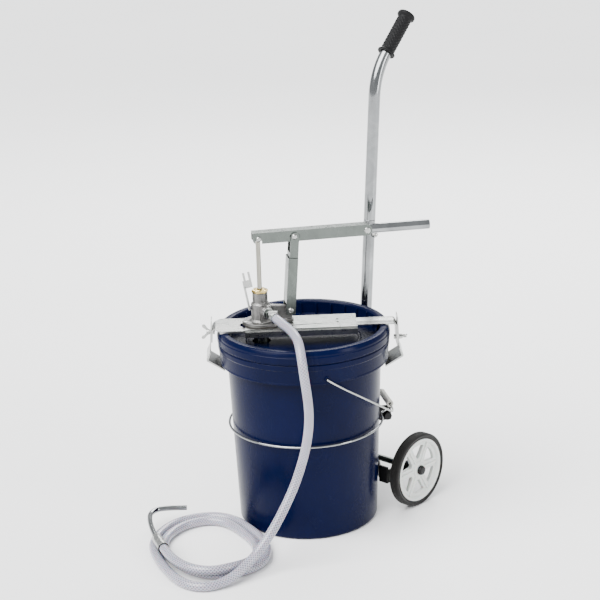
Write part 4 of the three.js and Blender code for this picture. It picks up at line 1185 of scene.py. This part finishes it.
def make_wheel(name, side):
    place = wheel_frame(side)
    tread = []
    for k in range(9):
        z = 3.5 + k * 13 / 8
        tread += [(69.9, z - 0.45, 0.2), (69.9, z + 0.35, 0.2), (69.2, z + 0.55, 0.15), (69.2, z + 0.9, 0.15)]
    outline = rounded(
        [
            (60, 1.2), (62, 0.6), (66.5, 0, 1.5), (69.2, 1.6, 1.2), *tread, (69.4, 18.2, 1.2),
            (66.5, 20, 1.6), (64.5, 19.4, 0.6), (63.8, 18.7, 0.4), (62.4, 18.9, 0.5), (60, 18.6),
        ],
        0.4,
        3,
    )
    tyre = lathe(name + "_tyre_fine", outline, LOOK["tyre_rubber"], 144, place)
    stands_for(tyre, name + "_tyre")
    disc = lathe(
        "disc",
        rounded(
            [
                (6.3, 0.6), (13.5, 0.6, 1), (14.5, 5, 1.5), (52, 7, 2), (54, 2.4, 1), (59.7, 2),
                (59.7, 19), (57.4, 19.4, 0.8), (55, 18.6, 1), (53, 13, 1.5), (15.5, 13.6, 1.5),
                (13.6, 18, 1), (10.4, 18.4, 0.6), (6.3, 18),
            ],
            0.5,
            3,
        ),
        LOOK["hub_plastic"],
        144,
        place,
    )
    cutters = []
    spokes = []
    for i in range(6):
        middle = 30 + 60 * i
        outline = []
        for turn in (-7, 0, 7):
            outline.append((21 * math.cos(turn * DEG), 21 * math.sin(turn * DEG)))
        for k in range(7):
            turn = (21 - 7 * k) * DEG
            outline.append((47 * math.cos(turn), 47 * math.sin(turn)))
        spun = place @ Matrix.Rotation(middle * DEG, 4, "Z")
        cutters.append(
            prism("window", rounded([tuple(p) for p in outline], 2.5, 3), -5, 30, LOOK["hub_plastic"], spun)
        )
        spun = place @ Matrix.Rotation((middle + 30) * DEG, 4, "Z")
        taper = [(13, -2.6), (55, -1.8), (55, 1.8), (13, 2.6)]
        spokes.append(bevelled(prism("spoke", taper, 12.6, 15.8, LOOK["hub_plastic"], spun), 0.8, 3))
    hub = bevelled(carved(disc, cutters), 0.6, 2)
    stands_for(joined(name + "_hub_fine", [hub, *spokes]), name + "_hub")
    cap = lathe(
        name + "_axle_cap_fine",
        rounded([(6.3, 18.5), (9, 18.5), (9, 22, 1), (7.4, 25.4, 2), (0, 26), (0, 21.6), (6.3, 21.4)], 0.6),
        LOOK["black_plastic"],
        48,
        place,
    )
    stands_for(cap, name + "_axle_cap")


def make_trolley():
    make_handle()
    for name, side in (("near", -1), ("far", 1)):
        make_wheel(name, side)
    axle = lathe(
        "axle_fine",
        rounded(
            [(0, -149), (5.4, -149, 0.5), (6, -148, 0.4), (6, 148, 0.4), (5.4, 149, 0.5), (0, 149)],
            0.4,
            3,
            closed=False,
        ),
        LOOK["bare_steel"],
        48,
        CARRIER_FRAME @ along((150.25, 0, 70), (150.25, 1, 70)),
    )
    stands_for(axle, "axle")
    refined("wheel_bracket", 0.5, 2)
    refined("cradle_strap", 0.5, 2)
    make_hoop()


def polar(radius, degrees, z=0.0):
    return (radius * math.cos(degrees * DEG), radius * math.sin(degrees * DEG), z)


def make_hoop():
    start = 41
    arc = [polar(140.5, start + (360 - 2 * start) * i / 24, 185) for i in range(25)]
    path = [polar(155, 37.3, 189), *arc, polar(155, -37.3, 189)]
    wire = sweep("hoop_wire_fine", spline(scaled(path), 8), 0.0021, LOOK["chrome"], 20, CARRIER_FRAME)
    stands_for(wire, "hoop_wire")
    for name, side in (("near", -1), ("far", 1)):
        centre = Vector(polar(153, side * 36, 175))
        way = Vector(polar(1, side * 36 + side * 90))
        place = CARRIER_FRAME @ along(centre, centre + way)

        def flutes(r, z, turn):
            return -0.45 * (0.5 - 0.5 * math.cos(10 * turn)) if r > 7 else 0

        head = lathe(
            "head",
            rounded(
                [(0, 0.3), (6, 0.3, 0.4), (8, 1.4, 0.8), (8, 7.6, 0.8), (6.4, 9, 0.8), (0, 9)],
                0.5,
                3,
                closed=False,
            ),
            LOOK["black_plastic"],
            80,
            place,
            wobble=flutes,
        )
        shank = threaded("shank", 2.6, -7.6, 0.6, place)
        stands_for(joined("hoop_knob_" + name + "_fine", [head, shank]), "hoop_knob_" + name)


def bail_z(x):
    return 315 - 0.711 * x


def make_bail():
    outside = 158.6
    near = [(0, -150.1, 315), (0, -outside + 1, 315), (3, -outside, bail_z(3)), (17, -157.2, bail_z(17))]
    near += [(36, -152, bail_z(36)), (62, -140, bail_z(62)), (112, -118, bail_z(112))]
    corner = [(130, -108, bail_z(130)), (139, -88, bail_z(139))]
    grip_line = [(148.5 + 2.5 * k, -46 + 22.5 * k, bail_z(148.5 + 2.5 * k)) for k in range(5)]
    far = [(152, 84, bail_z(152)), (146, 106, bail_z(146)), (130, 118, bail_z(130)), (66, 141, bail_z(66))]
    far += [(36, 152.6, bail_z(36)), (17, 157.2, bail_z(17)), (3, outside, bail_z(3))]
    far += [(0, outside - 1, 315), (0, 150.1, 315)]
    line = near + corner + grip_line + far
    wire = sweep("bail_wire_fine", spline(scaled(line), 10), 0.0018, LOOK["zinc_plate"], 20, EAR_FRAME)
    stands_for(wire, "bail_wire")
    start, end = Vector((149, -41.5, bail_z(149))), Vector((158, 39.5, bail_z(158)))
    reach = (end - start).length
    outline = [(3, 0.4), (5.4, 0), (6.3, 0.8), (6.5, 2.4), (6.1, 4)]
    z = 6.0
    while z < reach - 6:
        outline += [(5.7, z), (6.2, z + 1.2), (6.2, z + 3.6), (5.7, z + 4.8)]
        z += 6
    outline += [(6.1, reach - 4), (6.5, reach - 2.4), (6.3, reach - 0.8), (5.4, reach), (3, reach - 0.4)]
    grip = lathe(
        "bail_grip_fine",
        rounded(outline, 0.5, 3),
        LOOK["grip_plastic"],
        48,
        EAR_FRAME @ along(start, end),
    )
    stands_for(grip, "bail_grip")


make_trolley()
make_bail()


# ---- stage ----
def make_stage():
    floor = bpy.data.meshes.new("floor")
    reach = 40
    corners = [(-reach, -reach, 0), (reach, -reach, 0), (reach, reach, 0), (-reach, reach, 0)]
    floor.from_pydata(corners, [], [(0, 1, 2, 3)])
    obj = bpy.data.objects.new("floor", floor)
    bpy.context.scene.collection.objects.link(obj)
    obj.location.z = -0.0002
    paint = Paint("floor", (0.93, 0.93, 0.93), 0.7)
    drift = paint.remap(paint.noise(1.2, 3), 0.3, 0.7, 0, 1)
    paint.colour(paint.mix(drift, (0.92, 0.92, 0.92), (0.94, 0.94, 0.94)))
    floor.materials.append(paint.material)


def soft_light(name, location, target, size, power, colour=(1, 1, 1)):
    data = bpy.data.lights.new(name, "AREA")
    data.shape = "RECTANGLE"
    data.size, data.size_y = size
    data.energy = power
    data.color = colour
    light = bpy.data.objects.new(name, data)
    bpy.context.scene.collection.objects.link(light)
    light.location = location
    light.rotation_mode = "QUATERNION"
    light.rotation_quaternion = (Vector(target) - Vector(location)).to_track_quat("-Z", "Y")


def make_lights():
    world = bpy.data.worlds.new("studio")
    bpy.context.scene.world = world
    world.use_nodes = True
    world.node_tree.nodes["Background"].inputs["Color"].default_value = (0.96, 0.98, 1, 1)
    world.node_tree.nodes["Background"].inputs["Strength"].default_value = 0.78
    middle = (0, 0, 0.35)
    sun = bpy.data.lights.new("sun", "SUN")
    sun.energy = 8.2
    sun.angle = 55 * DEG
    lamp = bpy.data.objects.new("sun", sun)
    bpy.context.scene.collection.objects.link(lamp)
    lamp.rotation_euler = (Vector((-0.9, -0.7, 1.5))).to_track_quat("Z", "Y").to_euler()
    soft_light("fill", (2.6, -1.6, 1.3), middle, (0.8, 1.8), 45)
    soft_light("back", (0.6, 2.6, 2.2), middle, (2.4, 1.0), 90)


make_stage()
make_lights()
